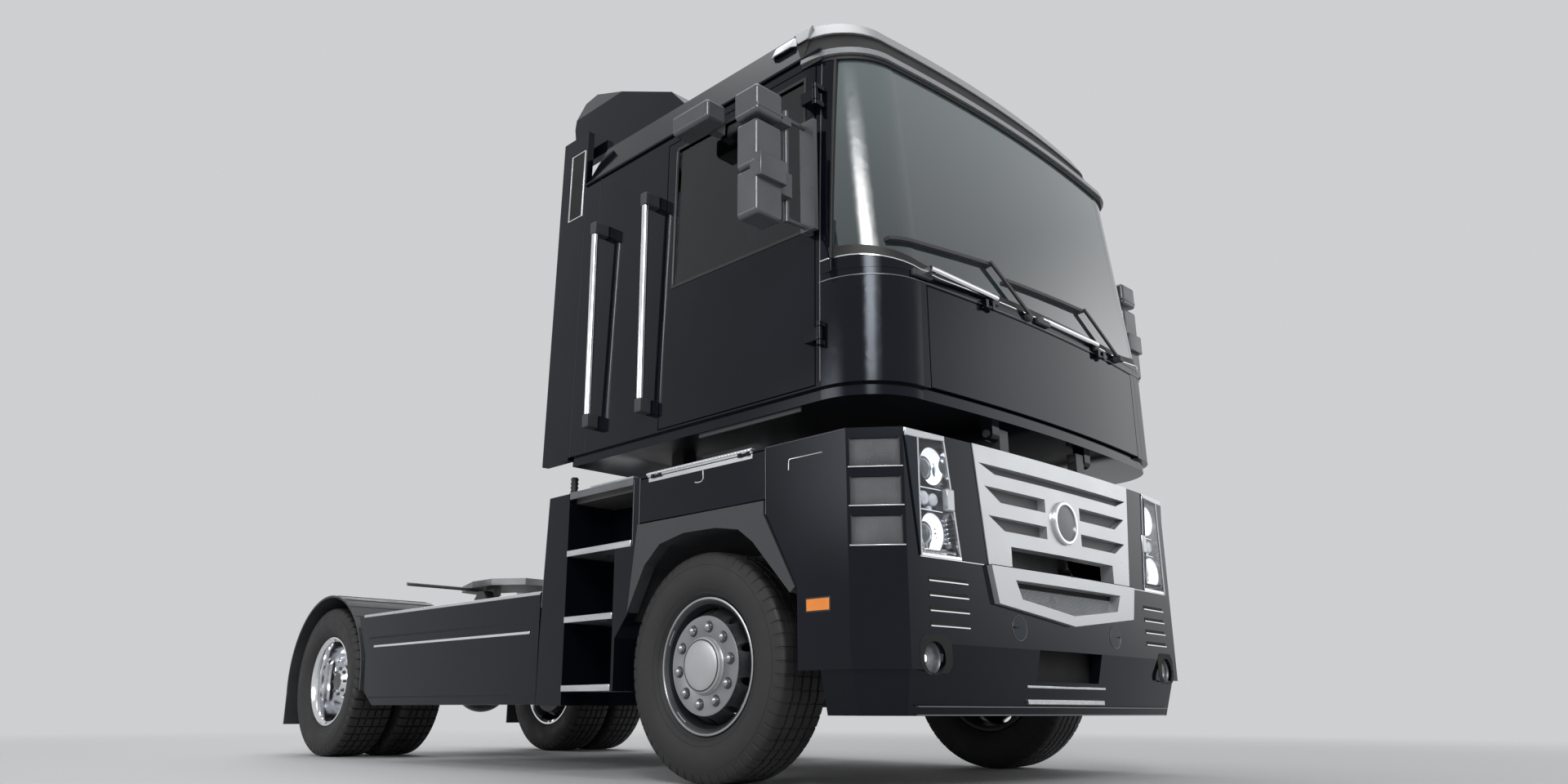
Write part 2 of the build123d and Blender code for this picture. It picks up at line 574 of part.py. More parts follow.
FOG_X = HALF - 280
FOG_Z = 505
FOG_R = 62
LAMP_PROUD = 8
LAMP_DEPTH = 110
with BuildPart() as headlights:
    extrude(module_plan(MODULE_SEAM, -LAMP_PROUD, A1 + LID_FRONT), amount=MODULE_TOP - MODULE_SEAM)
    extrude(module_plan(MODULE_SEAM, LAMP_DEPTH, A1 + LID_FRONT + 1), amount=MODULE_TOP - MODULE_SEAM,
            mode=Mode.SUBTRACT)
    front_plate(wedge(LAMP_LOW_X[1], LAMP_TOP_X[1]), (FAR, NEAR), mode=Mode.INTERSECT)
    front_plate(wedge(LAMP_LOW_X[0], LAMP_TOP_X[0], 5), (FAR, NEAR), mode=Mode.SUBTRACT)
    extrude(module_plan(DECK_Z, PANEL, A1 + LID_FRONT), amount=DECK_T, mode=Mode.SUBTRACT)
    for side, _ in SIDES:
        with Locations(Location((side * FOG_X, A1 + CORNER_Y + 40, FOG_Z), (90, 0, 0))):
            Cylinder(FOG_R, 70)
save(headlights.part, "front_lamps")

RECESSES = ((1285, 1323, 0, 530), (1166, 1227, 150, 497), (1046, 1103, 150, 480))   # low z, top z, inner x, outer x
RECESS_TAPER = 110   # how much further out a recess reaches at its top
RECESS_DEPTH = 38
GRILLE_PROUD = 5
GRILLE_T = 60
BADGE_R = 98
BADGE_Z = 1135
BADGE_PROUD = 10
MOUTH_X = 440
MOUTH_Z = (MODULE_SEAM, 984)
with BuildPart() as grille:
    extrude(module_plan(MODULE_SEAM, -GRILLE_PROUD, A1 + LID_FRONT), amount=MODULE_TOP + 12 - MODULE_SEAM)
    extrude(module_plan(MODULE_SEAM, GRILLE_T, A1 + LID_FRONT + 1), amount=MODULE_TOP + 12 - MODULE_SEAM,
            mode=Mode.SUBTRACT)
    front_plate(wedge(GRILLE_LOW_X, GRILLE_TOP_X), (FAR, NEAR), mode=Mode.INTERSECT)
    for low, top, inner_x, outer_x in RECESSES:
        for side, _ in SIDES:
            front_plate(((side * inner_x, low), (side * outer_x, low), (side * (outer_x + RECESS_TAPER), top),
                         (side * inner_x, top)), (FAR, A1 + MODULE_FRONT + RECESS_DEPTH), mode=Mode.SUBTRACT)
    block((-MOUTH_X, MOUTH_X), (FAR, NEAR), (MOUTH_Z[0] - 1, MOUTH_Z[1]), mode=Mode.SUBTRACT)
    extrude(module_plan(DECK_Z, PANEL, A1 + LID_FRONT), amount=DECK_T, mode=Mode.SUBTRACT)
    badge_front = A1 + MODULE_FRONT - GRILLE_PROUD - BADGE_PROUD
    with Locations(Location((0, badge_front + (BADGE_PROUD + RECESS_DEPTH) / 2, BADGE_Z), (90, 0, 0))):
        Cylinder(BADGE_R, BADGE_PROUD + RECESS_DEPTH)

BEZEL = ((-615, MODULE_SEAM), (615, MODULE_SEAM), (575, 735), (0, 671), (-575, 735))
BEZEL_WINDOW = ((-450, 840), (450, 840), (410, 762), (0, 716), (-410, 762))
with BuildPart() as lower_bezel:
    extrude(module_plan(600, -(FRONT_OVERHANG + MODULE_FRONT), A1 + LID_FRONT), amount=MODULE_SEAM - 600)
    extrude(module_plan(600, PANEL, A1 + LID_FRONT + 1), amount=MODULE_SEAM - 600, mode=Mode.SUBTRACT)
    front_plate(BEZEL, (FAR, NEAR), mode=Mode.INTERSECT)
    front_plate(BEZEL_WINDOW, (FAR, A1 + CORNER_Y - 10), mode=Mode.SUBTRACT)
save(lower_bezel.part, "lower_bezel")
save(grille.part, "grille")

with BuildPart() as bumper:
    module_ring((BUMPER_BEND, MODULE_SEAM), 0, PANEL, A1 + CORNER_Y + 300)
    loft([module_plan(VALANCE_BOTTOM, VALANCE_INSET, A1 - 700), module_plan(BUMPER_BEND, 0, A1 - 700)], ruled=True)
    loft([module_plan(VALANCE_BOTTOM - 1, VALANCE_INSET + PANEL, A1 - 699),
          module_plan(BUMPER_BEND, PANEL, A1 - 699)], ruled=True, mode=Mode.SUBTRACT)
    front_plate(((-HALF - 5, LOWER_EDGE), (-BUMPER_X, LOWER_EDGE), (-BUMPER_X, MODULE_SEAM + 5),
                 (-HALF - 5, MODULE_SEAM + 5)), (FAR, A1 + LID_FRONT), mode=Mode.SUBTRACT)
    front_plate(((HALF + 5, LOWER_EDGE), (BUMPER_X, LOWER_EDGE), (BUMPER_X, MODULE_SEAM + 5),
                 (HALF + 5, MODULE_SEAM + 5)), (FAR, A1 + LID_FRONT), mode=Mode.SUBTRACT)
    front_plate(BEZEL, (FAR, NEAR), mode=Mode.SUBTRACT)
    block((-BUMPER_X, BUMPER_X), (A1 + CORNER_Y + 60, A1 - 600), (BUMPER_BEND, MODULE_SEAM), mode=Mode.SUBTRACT)
    block((-265, 265), (FAR, NEAR), (430, BUMPER_BEND), mode=Mode.SUBTRACT)
    for side, _ in SIDES:
        with Locations(Location((side * FOG_X, A1 + CORNER_Y, FOG_Z), (90, 0, 0))):
            Cylinder(FOG_R, 300, mode=Mode.SUBTRACT)
save(bumper.part, "bumper")

# ---------------------------------------------------------------- lower module: sides
TRIM_TOP = LID_BOTTOM - 8
TRIM_FRONT = ((-566, 769), (-593, 790), (-416, 1105), (-416, TRIM_TOP))
TRIM_PROUD = 6
LINER_IN = HALF - 650
LINER_T = 12
with BuildPart() as arch_trims:
    for side, _ in SIDES:
        side_plate(TRIM_FRONT + ((440, TRIM_TOP),) + ARCH[:-1], (side * (HALF - PANEL - 15), side * (HALF + TRIM_PROUD)))
save(arch_trims.part, "arch_trims")

LINER = ((560, 720), (440, 965), (310, 1058)) + ARCH[3:]
LINER_OUTER = tuple((y + math.copysign(LINER_T, y), z + LINER_T) for y, z in LINER)
with BuildPart() as arch_liners:
    for side, _ in SIDES:
        side_plate(LINER_OUTER + LINER[::-1], (side * LINER_IN, side * (HALF - PANEL - 15)))
        block((side * RAIL_OUT, side * LINER_IN), (A1 - 60, A1 + 60), (RAIL_TOP - 40, RAIL_TOP))
        block((side * (LINER_IN - 15), side * LINER_IN), (A1 - 60, A1 + 60), (RAIL_TOP - 40, 1098))
save(arch_liners.part, "arch_liners")

FRONT_POST = ((POST_FRONT, TRIM_TOP), (POST_FRONT, MODULE_TOP), (STEP_FRONT, MODULE_TOP),
              (STEP_FRONT, 1070), (STEP_LOW_FRONT, 1070), (STEP_LOW_FRONT, 395), (602, 395), (600, 640),
              (501, 754), (440, TRIM_TOP))
REAR_COLUMN = ((COLUMN_FRONT, MODULE_TOP), (1206, MODULE_TOP), (COLUMN_REAR, 700), (COLUMN_REAR + 8, 330),
               (COLUMN_FRONT, 330))
with BuildPart() as step_columns:
    for side, _ in SIDES:
        x = (side * (STEP_WELL_X + 25), side * HALF)
        side_plate(FRONT_POST, x)
        side_plate(REAR_COLUMN, x)
        block((side * STEP_WELL_X, side * (STEP_WELL_X + 25)), (A1 + STEP_LOW_FRONT, A1 + COLUMN_REAR), (330, DECK_Z))
        block((side * STEP_WELL_X, side * (STEP_WELL_X + 25)), (A1 + STEP_FRONT, A1 + STEP_LOW_FRONT), (1070, DECK_Z))
        side_plate(LINER_OUTER + ((0, 0),), (side * LINER_IN, side * (HALF - PANEL - 15)), mode=Mode.SUBTRACT)
    extrude(module_plan(DECK_Z, PANEL, A1 + COLUMN_REAR - 10), amount=DECK_T, mode=Mode.SUBTRACT)
save(step_columns.part, "step_columns")

with BuildPart() as step_treads:
    for side, _ in SIDES:
        for top, front in STEPS:
            block((side * (STEP_WELL_X + 25), side * (HALF + 4)), (A1 + front, A1 + COLUMN_FRONT), (top - STEP_T, top))
        block((side * 1100, side * (HALF - 60)), (A1 + 565, A1 + 930), (DECK_Z + DECK_T, DECK_Z + DECK_T + 55))
save(step_treads.part, "step_treads")

for side, name in SIDES:
    with BuildPart() as locker_lid:
        block((side * (HALF - LID_T), side * HALF), (A1 + LID_FRONT, A1 + LID_REAR), (LID_BOTTOM, LID_TOP))
        for place in LID_HINGES:
            for turn in (-1, 1):
                y = (A1 + place + turn * (LUG_T / 2 + 3), A1 + place + turn * (1.5 * LUG_T + 2 * GAP))
                block((side * (HALF - NOTCH), side * (HALF + 1)), y, (LID_TOP - 1.5 * NOTCH, LID_TOP + 1),
                      mode=Mode.SUBTRACT)
            y = (A1 + place - LUG_T / 2 - 2, A1 + place + LUG_T / 2 + 2)
            block((side * (HALF - 5), side * LID_PIN_X), y, (LID_TOP - SMALL_EYE_R, LID_TOP))
            rod_y(side * LID_PIN_X, y, LID_TOP, SMALL_EYE_R)
            rod_y(side * LID_PIN_X, (y[0] - 1, y[1] + 1), LID_TOP, SMALL_PIN_R + PIN_GAP, mode=Mode.SUBTRACT)
    save(locker_lid.part, f"locker_lid_{name}")

# ---------------------------------------------------------------- side skirts, tanks and fenders
SKIRT = ((SKIRT_FRONT, SKIRT_BOTTOM), (SKIRT_FRONT, SKIRT_TOP), (SKIRT_REAR, SKIRT_TOP), (SKIRT_REAR - 138, 654),
         (SKIRT_REAR - 165, 420), (SKIRT_REAR - 290, SKIRT_BOTTOM))
with BuildPart() as side_skirts:
    for side, _ in SIDES:
        side_plate(SKIRT, (side * (HALF - PANEL), side * HALF))
        block((side * (HALF - 110), side * (HALF - PANEL)), (A1 + SKIRT_FRONT, A1 + SKIRT_REAR - 170),
              (SKIRT_TOP - 30, SKIRT_TOP))
save(side_skirts.part, "side_skirts")

TANK_Y = (1480, WHEELBASE - 1000)
with BuildPart() as side_tanks:
    for side, _ in SIDES:
        x = (side * RAIL_OUT, side * (HALF - 110))
        block(x, (A1 + TANK_Y[0], A1 + TANK_Y[1]), (370, SKIRT_TOP - 40))
    fillet(side_tanks.edges().filter_by(Axis.Y), 60)
save(side_tanks.part, "side_tanks")

FENDER_Z = TYRE_R - 18
FLAP_LOW = 206       # lower edge of the mud flap
with BuildPart() as rear_fenders:
    for side, _ in SIDES:
        x = sorted((side * FENDER_IN, side * HALF))
        with BuildSketch(Plane.YZ.offset(x[0])) as arc:
            with Locations((A2, FENDER_Z)):
                Circle(FENDER_R)
                Circle(FENDER_R - FENDER_T, mode=Mode.SUBTRACT)
            with Locations((A2, FENDER_Z - FENDER_R)):
                Rectangle(2 * FENDER_R + 10, 2 * FENDER_R - 100, mode=Mode.SUBTRACT)
        extrude(arc.sketch, amount=HALF - FENDER_IN)
        for place in (-480, 480):
            block((side * RAIL_OUT, side * (FENDER_IN + 10)), (A2 + place - 12, A2 + place + 12), (820, 850))
        block((side * (FENDER_IN + 40), side * HALF), (A2 + FENDER_R - 16, A2 + FENDER_R - 4), (FLAP_LOW, 460))
save(rear_fenders.part, "rear_fenders")

with BuildPart() as rear_deck:
    block((-RAIL_OUT, RAIL_OUT), (A1 + 1420, A1 + FIFTH_Y - 600), (RAIL_TOP, RAIL_TOP + 25))
save(rear_deck.part, "rear_deck")

with BuildPart() as tail_lamps:
    for side, _ in SIDES:
        block((side * RAIL_OUT, side * (HALF - 350)), (A2 + REAR_OVERHANG - 70, A2 + REAR_OVERHANG - 10), (740, 850))
save(tail_lamps.part, "tail_lamps")

# ---------------------------------------------------------------- fifth wheel
FIFTH = A1 + FIFTH_Y
PEDESTAL_X = (345, 415)
LUG_X = (285, 340)
with BuildPart() as fifth_wheel_base:
    block((-RAIL_OUT, RAIL_OUT), (FIFTH - 260, FIFTH + 260), (RAIL_TOP, RAIL_TOP + 20))
    for side, _ in SIDES:
        side_plate(((FIFTH_Y - 150, RAIL_TOP + 20), (FIFTH_Y + 150, RAIL_TOP + 20), (FIFTH_Y + 35, FIFTH_PIVOT_Z + 30),
                    (FIFTH_Y - 35, FIFTH_PIVOT_Z + 30)), (side * PEDESTAL_X[0], side * PEDESTAL_X[1]))
        rod_x((side * (LUG_X[0] - 10), side * (PEDESTAL_X[0] + 10)), FIFTH, FIFTH_PIVOT_Z, FIFTH_PIN_R)
save(fifth_wheel_base.part, "fifth_wheel_base")

with BuildPart() as fifth_wheel_plate:
    with BuildSketch(Plane.XY.offset(FIFTH_TOP - FIFTH_T)) as top_plate:
        Polygon((-300, FIFTH - 400), (300, FIFTH - 400), (450, FIFTH - 200), (450, FIFTH + 60), (330, FIFTH + 420),
                (180, FIFTH + 470), (60, FIFTH + 120), (-60, FIFTH + 120), (-180, FIFTH + 470), (-330, FIFTH + 420),
                (-450, FIFTH + 60), (-450, FIFTH - 200), align=None)
    extrude(top_plate.sketch, amount=FIFTH_T)
    with Locations((0, FIFTH, FIFTH_TOP)):
        Hole(KINGPIN_HOLE_R, depth=FIFTH_T)
    for side, _ in SIDES:
        block((side * LUG_X[0], side * LUG_X[1]), (FIFTH - 60, FIFTH + 60), (FIFTH_PIVOT_Z, FIFTH_TOP - FIFTH_T))
        rod_x((side * LUG_X[0], side * LUG_X[1]), FIFTH, FIFTH_PIVOT_Z, 42)
    for side, _ in SIDES:
        rod_x((side * (LUG_X[0] - 20), side * (LUG_X[1] + 20)), FIFTH, FIFTH_PIVOT_Z, FIFTH_PIN_R + PIN_GAP,
              mode=Mode.SUBTRACT)
    rod_x((-900, -300), FIFTH + 165, FIFTH_TOP - FIFTH_T, 12)
save(fifth_wheel_plate.part, "fifth_wheel_plate")

# ---------------------------------------------------------------- cab shell
with BuildPart() as cab_shell:
    cab_block((CAB_BOTTOM, CAB_SHOULDER), 0)
    roof_block(0)
    cab_block((CAB_BOTTOM, CAB_SHOULDER), CAB_WALL, mode=Mode.SUBTRACT)
    roof_block(CAB_WALL, mode=Mode.SUBTRACT)
    extrude(cab_plan(FLOOR_Z, FLOOR_INSET), amount=FLOOR_T)
    block((-BULKHEAD_X, BULKHEAD_X), (A1 + BULKHEAD_Y, A1 + BULKHEAD_Y + 40), (CAB_BOTTOM, FLAP_TOP + 20))
    for side, _ in SIDES:
        block((side * TILT_LUG_X[0], side * TILT_LUG_X[1]), (A1 + TILT_Y - 30, A1 + TILT_Y + 30), (TILT_Z, FLOOR_Z))
        rod_x((side * TILT_LUG_X[0], side * TILT_LUG_X[1]), A1 + TILT_Y, TILT_Z, 30)
        rod_x((side * (TILT_LUG_X[0] - 1), side * (TILT_LUG_X[1] + 1)), A1 + TILT_Y, TILT_Z, TILT_PIN_R + PIN_GAP,
              mode=Mode.SUBTRACT)
    for side, _ in SIDES:
        block((side * (HALF - 120), side * (HALF + 5)), (A1 + DOOR_FRONT - GAP, A1 + DOOR_REAR + GAP),
              (DOOR_BOTTOM - GAP, DOOR_TOP + GAP), mode=Mode.SUBTRACT)
    block((-HALF - 5, HALF + 5), (A1 - 1200, A1 + SCREEN_REAR), (SCREEN_BOTTOM, SCREEN_TOP), mode=Mode.SUBTRACT)
    block((-FLAP_X - GAP, FLAP_X + GAP), (A1 - 1200, A1 + BULKHEAD_Y), (CAB_BOTTOM, FLAP_TOP + GAP),
          mode=Mode.SUBTRACT)
    for side, _ in SIDES:
        for low in DOOR_HINGES:
            for z in (low - LUG_T - 4, low + DOOR_HINGE_H + 4):
                block((side * (HALF - CAB_WALL + 5), side * DOOR_PIN_X),
                      (A1 + DOOR_PIN_Y - DOOR_EYE_R, A1 + DOOR_PIN_Y + DOOR_EYE_R), (z, z + LUG_T))
                rod_z(side * DOOR_PIN_X, A1 + DOOR_PIN_Y, (z, z + LUG_T), DOOR_EYE_R)
            rod_z(side * DOOR_PIN_X, A1 + DOOR_PIN_Y, (low - 10, low + DOOR_HINGE_H + 10), HINGE_PIN_R)
    for middle in FLAP_HINGES:
        for shift in (-LUG_T - GAP, LUG_T + GAP):
            x = (middle + shift - LUG_T / 2, middle + shift + LUG_T / 2)
            side_plate(((FLAP_PIN_Y - SMALL_EYE_R, FLAP_TOP - SMALL_EYE_R), (FLAP_PIN_Y - SMALL_EYE_R, FLAP_TOP + 30),
                        (CAB_FRONT, FLAP_TOP + 30), (CAB_FRONT, FLAP_TOP + GAP + 4),
                        (FLAP_PIN_Y + SMALL_EYE_R, FLAP_TOP + GAP), (FLAP_PIN_Y + SMALL_EYE_R, FLAP_TOP - SMALL_EYE_R)), x)
        rod_x((middle - 2 * LUG_T, middle + 2 * LUG_T), A1 + FLAP_PIN_Y, FLAP_TOP, SMALL_PIN_R)
save(cab_shell.part, "cab_shell")

with BuildPart() as windscreen:
    cab_skin((SCREEN_BOTTOM, SCREEN_TOP), GLASS_SET, GLASS_SET + GLASS_T)
    block((-HALF, HALF), (A1 + SCREEN_REAR, A1 + CAB_REAR + 5), (SCREEN_BOTTOM - 1, SCREEN_TOP + 1), mode=Mode.SUBTRACT)
save(windscreen.part, "windscreen")

with BuildPart() as front_flap:
    cab_skin((FLAP_BOTTOM, FLAP_TOP), 0, CAB_WALL)
    block((-FLAP_X, FLAP_X), (A1 - 1200, A1 + BULKHEAD_Y - GAP), (FLAP_BOTTOM, FLAP_TOP), mode=Mode.INTERSECT)
    for middle in FLAP_HINGES:
        x = (middle - LUG_T / 2 - 2, middle + LUG_T / 2 + 2)
        block(x, (A1 + FLAP_PIN_Y, A1 + CAB_FRONT - 15), (FLAP_TOP - SMALL_EYE_R, FLAP_TOP))
        rod_x(x, A1 + FLAP_PIN_Y, FLAP_TOP, SMALL_EYE_R)
        rod_x((x[0] - 1, x[1] + 1), A1 + FLAP_PIN_Y, FLAP_TOP, SMALL_PIN_R + PIN_GAP, mode=Mode.SUBTRACT)
save(front_flap.part, "front_flap")

for side, name in SIDES:
    outer = (side * (HALF - 100), side * (HALF + 5))
    with BuildPart() as door:
        cab_skin((DOOR_BOTTOM, DOOR_TOP), 0, CAB_WALL)
        block(outer, (A1 + DOOR_FRONT, A1 + DOOR_REAR), (DOOR_BOTTOM, DOOR_TOP), mode=Mode.INTERSECT)
        side_plate(WINDOW, outer, mode=Mode.SUBTRACT)
        for low in DOOR_HINGES:
            z = (low, low + DOOR_HINGE_H)
            block((side * (DOOR_PIN_X - 8), side * (DOOR_PIN_X + 8)), (A1 + DOOR_PIN_Y, A1 + DOOR_FRONT + 34), z)
            block((side * (HALF - CAB_WALL + 5), side * DOOR_PIN_X), (A1 + DOOR_FRONT, A1 + DOOR_FRONT + 34), z)
            rod_z(side * DOOR_PIN_X, A1 + DOOR_PIN_Y, z, DOOR_EYE_R)
            rod_z(side * DOOR_PIN_X, A1 + DOOR_PIN_Y, (z[0] - 1, z[1] + 1), HINGE_PIN_R + PIN_GAP, mode=Mode.SUBTRACT)
    save(door.part, f"door_{name}")
    with BuildPart() as door_glass:
        cab_skin((DOOR_BOTTOM, DOOR_TOP), GLASS_SET, GLASS_SET + GLASS_T)
        side_plate(WINDOW, outer, mode=Mode.INTERSECT)
    save(door_glass.part, f"door_glass_{name}")

# ---------------------------------------------------------------- mirrors
MIRROR_POLE_X = HALF + 150
MIRROR_POLE_Y = -705
MIRROR_TOP = DOOR_TOP - 340
MIRROR_LOW = MIRROR_TOP - 490
MIRROR_HEADS = ((-560, -345), (-340, -125))   # low and top of each, from MIRROR_TOP
HEAD_Y = (A1 - 775, A1 - 665)
NECK_Y = (A1 - 735, A1 - 680)
HEAD_X = (90, 250)         # inner and outer side of the heads, from the pole
WIDE_HEAD = (-100, 35)     # low and top of the wide-angle head, from MIRROR_TOP
NECKS = ((-400, -290), (-60, -20))   # heights of the necks that carry the heads
HEAD_R = 22
POLE_R = 13
KERB_Y = (A1 - 210, A1 + 40)
PLATE_X = (DOOR_PIN_X - 4, DOOR_PIN_X + 19)
PLATE_REAR = -680


def mirror_head(x, y, z):
    """A mirror housing, rounded everywhere but round its glass, which faces back."""
    with BuildPart() as head:
        block(x, y, z)
        fillet(head.edges().filter_by(Axis.Y), HEAD_R)
        fillet(head.faces().sort_by(Axis.Y)[0].edges(), HEAD_R - 2)
    return head.part


for side, name in SIDES:
    with BuildPart() as mirror_set:
        block((side * (HALF - CAB_WALL + 5), side * PLATE_X[1]), (A1 + DOOR_FRONT + 4, A1 + PLATE_REAR),
              (MIRROR_LOW - 20, MIRROR_TOP + 20))
        block((side * PLATE_X[0], side * PLATE_X[1]), (A1 + DOOR_PIN_Y - 3, A1 + PLATE_REAR),
              (MIRROR_LOW - 20, MIRROR_TOP + 20))
        cab_block((DOOR_BOTTOM, DOOR_TOP), 0, mode=Mode.SUBTRACT)
        for z in (MIRROR_LOW, MIRROR_TOP - 10):
            rod_x((side * (PLATE_X[1] - 5), side * MIRROR_POLE_X), A1 + MIRROR_POLE_Y, z, 11)
        rod_z(side * MIRROR_POLE_X, A1 + MIRROR_POLE_Y, (MIRROR_LOW - 12, MIRROR_TOP + 25), POLE_R)
        for low, top in MIRROR_HEADS:
            x = (side * (MIRROR_POLE_X + HEAD_X[0]), side * (MIRROR_POLE_X + HEAD_X[1]))
            add(mirror_head(x, HEAD_Y, (MIRROR_TOP + low, MIRROR_TOP + top)))
        add(mirror_head(x, (HEAD_Y[0] - 5, HEAD_Y[1] + 15), (MIRROR_TOP + WIDE_HEAD[0], MIRROR_TOP + WIDE_HEAD[1])))
        for low, top in NECKS:
            block((side * (MIRROR_POLE_X - 5), side * (MIRROR_POLE_X + HEAD_X[0] + 20)), NECK_Y,
                  (MIRROR_TOP + low, MIRROR_TOP + top))
        if name == "right":
            add(mirror_head((-HALF - 170, -HALF - 40), KERB_Y, (DOOR_TOP - 130, DOOR_TOP - 25)))
            block((-HALF - 60, -HALF + 50), (A1 - 120, A1 - 70), (DOOR_TOP - 110, DOOR_TOP - 25))
            cab_block((DOOR_BOTTOM, DOOR_TOP), 0, mode=Mode.SUBTRACT)
    save(mirror_set.part, f"mirror_{name}")

# ---------------------------------------------------------------- grab handles and rails
HANDLES = ((392, CAB_BOTTOM + 118, CAB_SHOULDER - 329), (826, CAB_BOTTOM + 124, CAB_SHOULDER - 346))   # y, low z, top z
HANDLE_OUT = HALF + 50
RAIL_Z = 2112
RAIL_PAIRS = ((-940, -440), (-60, 470))
with BuildPart() as grab_handles:
    for side, _ in SIDES:
        for place, low, top in HANDLES:
            rod_z(side * HANDLE_OUT, A1 + place, (low, top), 16)
            for z in (low + 20, top - 20):
                rod_x((side * (HALF - 70), side * HANDLE_OUT), A1 + place, z, 14)
    for left, right in RAIL_PAIRS:
        rod_x((left, right), A1 + MODULE_FRONT - 8, RAIL_Z, 12)
        for x in (left + 20, right - 20):
            block((x - 15, x + 15), (A1 + MODULE_FRONT - 12, A1 + CAB_FRONT + 20), (RAIL_Z - 10, RAIL_Z + 10))
    cab_block((DOOR_BOTTOM, DOOR_TOP), 0, mode=Mode.SUBTRACT)
save(grab_handles.part, "grab_handles")

# ---------------------------------------------------------------- wipers
WIPERS = (((-175, 2095), (-440, 2292), (-1085, 2236), (-430, 2292)),
          ((715, 2099), (400, 2283), (-310, 2242), (392, 2282)))   # pivot, arm end, blade ends
WIPER_W = 16
WIPER_ARM = (-25, -13)           # insets from the cab's face
WIPER_BLADE = (-14, GLASS_SET)
WIPER_Z = (SCREEN_BOTTOM - 60, SCREEN_BOTTOM + 240)


def wiper_bar(start, end, depth):
    """A straight bar laid on the cab's face between two (x, z) points and two insets."""
    run = math.hypot(end[0] - start[0], end[1] - start[1])
    turn = math.degrees(math.atan2(end[1] - start[1], end[0] - start[0]))
    middle = ((start[0] + end[0]) / 2, (start[1] + end[1]) / 2)
    with BuildPart() as bar:
        cab_skin(WIPER_Z, *depth)
        with BuildSketch(Plane.XZ.offset(-A1 - BULKHEAD_Y)) as outline:
            with Locations(Location((*middle, 0), (0, 0, turn))):
                Rectangle(run + WIPER_W, WIPER_W)
        extrude(outline.sketch, amount=FRONT_OVERHANG + BULKHEAD_Y + 10, mode=Mode.INTERSECT)
    return bar.part


with BuildPart() as wipers:
    for pivot, tip, start, end in WIPERS:
        add(wiper_bar(pivot, tip, WIPER_ARM))
        add(wiper_bar(start, end, WIPER_BLADE))
        block((pivot[0] - 18, pivot[0] + 18), (A1 + MODULE_FRONT - 14, A1 + CAB_FRONT + 20), (pivot[1] - 18, pivot[1] + 10))
    cab_block((DOOR_BOTTOM, DOOR_TOP), 0, mode=Mode.SUBTRACT)
    for pivot, tip, start, end in WIPERS:
        add(wiper_bar(start, end, WIPER_BLADE))
save(wipers.part, "wipers")

# ---------------------------------------------------------------- roof and side deflectors
with BuildPart() as side_deflectors:
    for side, _ in SIDES:
        lean = cab_lean(DEFLECTOR_TOP)
        with BuildSketch(Plane.XY.offset(DOOR_BOTTOM - 30)) as low_face:
            with Locations((side * (HALF - DEFLECTOR_T / 2), A1 + (CAB_REAR + DEFLECTOR_REAR) / 2)):
                Rectangle(DEFLECTOR_T, DEFLECTOR_REAR - CAB_REAR)
        with BuildSketch(Plane.XY.offset(DEFLECTOR_TOP)) as top_face:
            with Locations((side * (HALF - lean - DEFLECTOR_T / 2), A1 + (CAB_REAR + DEFLECTOR_REAR) / 2)):
                Rectangle(DEFLECTOR_T, DEFLECTOR_REAR - CAB_REAR)
        loft([low_face.sketch, top_face.sketch], ruled=True)
save(side_deflectors.part, "side_deflectors")

with BuildPart() as roof_deflector:
    side_plate(SPOILER, (-SPOILER_X, SPOILER_X))
    inner = ((340, ROOF_EDGE - 40), (460, ROOF_TOP - 15), (1190, SPOILER_TOP - 45), (1400, SPOILER_TOP - 69),
             (1400, ROOF_EDGE - 40))
    side_plate(inner, (-SPOILER_X + 45, SPOILER_X - 45), mode=Mode.SUBTRACT)
    front_plate(((-SPOILER_X, ROOF_EDGE - 40), (SPOILER_X, ROOF_EDGE - 40), (SPOILER_X, SPOILER_TOP - 150),
                 (SPOILER_X - 60, SPOILER_TOP + 11), (-SPOILER_X + 60, SPOILER_TOP + 11),
                 (-SPOILER_X, SPOILER_TOP - 150)), (A1 + 200, A1 + 1500), mode=Mode.INTERSECT)
    roof_block(0, mode=Mode.SUBTRACT)
save(roof_deflector.part, "roof_deflector")

# ---------------------------------------------------------------- cab interior
FLOOR_TOP = FLOOR_Z + FLOOR_T
with BuildPart() as seats:
    for x in (-620, 620):
        block((x - 130, x + 130), (A1 - 180, A1 + 120), (FLOOR_TOP, FLOOR_TOP + 280))
        block((x - 250, x + 250), (A1 - 280, A1 + 230), (FLOOR_TOP + 280, FLOOR_TOP + 420))
        block((x - 250, x + 250), (A1 + 110, A1 + 230), (FLOOR_TOP + 420, FLOOR_TOP + 1050))
        block((x - 130, x + 130), (A1 + 130, A1 + 210), (FLOOR_TOP + 1050, FLOOR_TOP + 1250))
    block((-BULKHEAD_X, BULKHEAD_X), (A1 + CAB_REAR - CAB_WALL - 640, A1 + CAB_REAR - CAB_WALL), (FLOOR_TOP, FLOOR_TOP + 520))
save(seats.part, "seats")

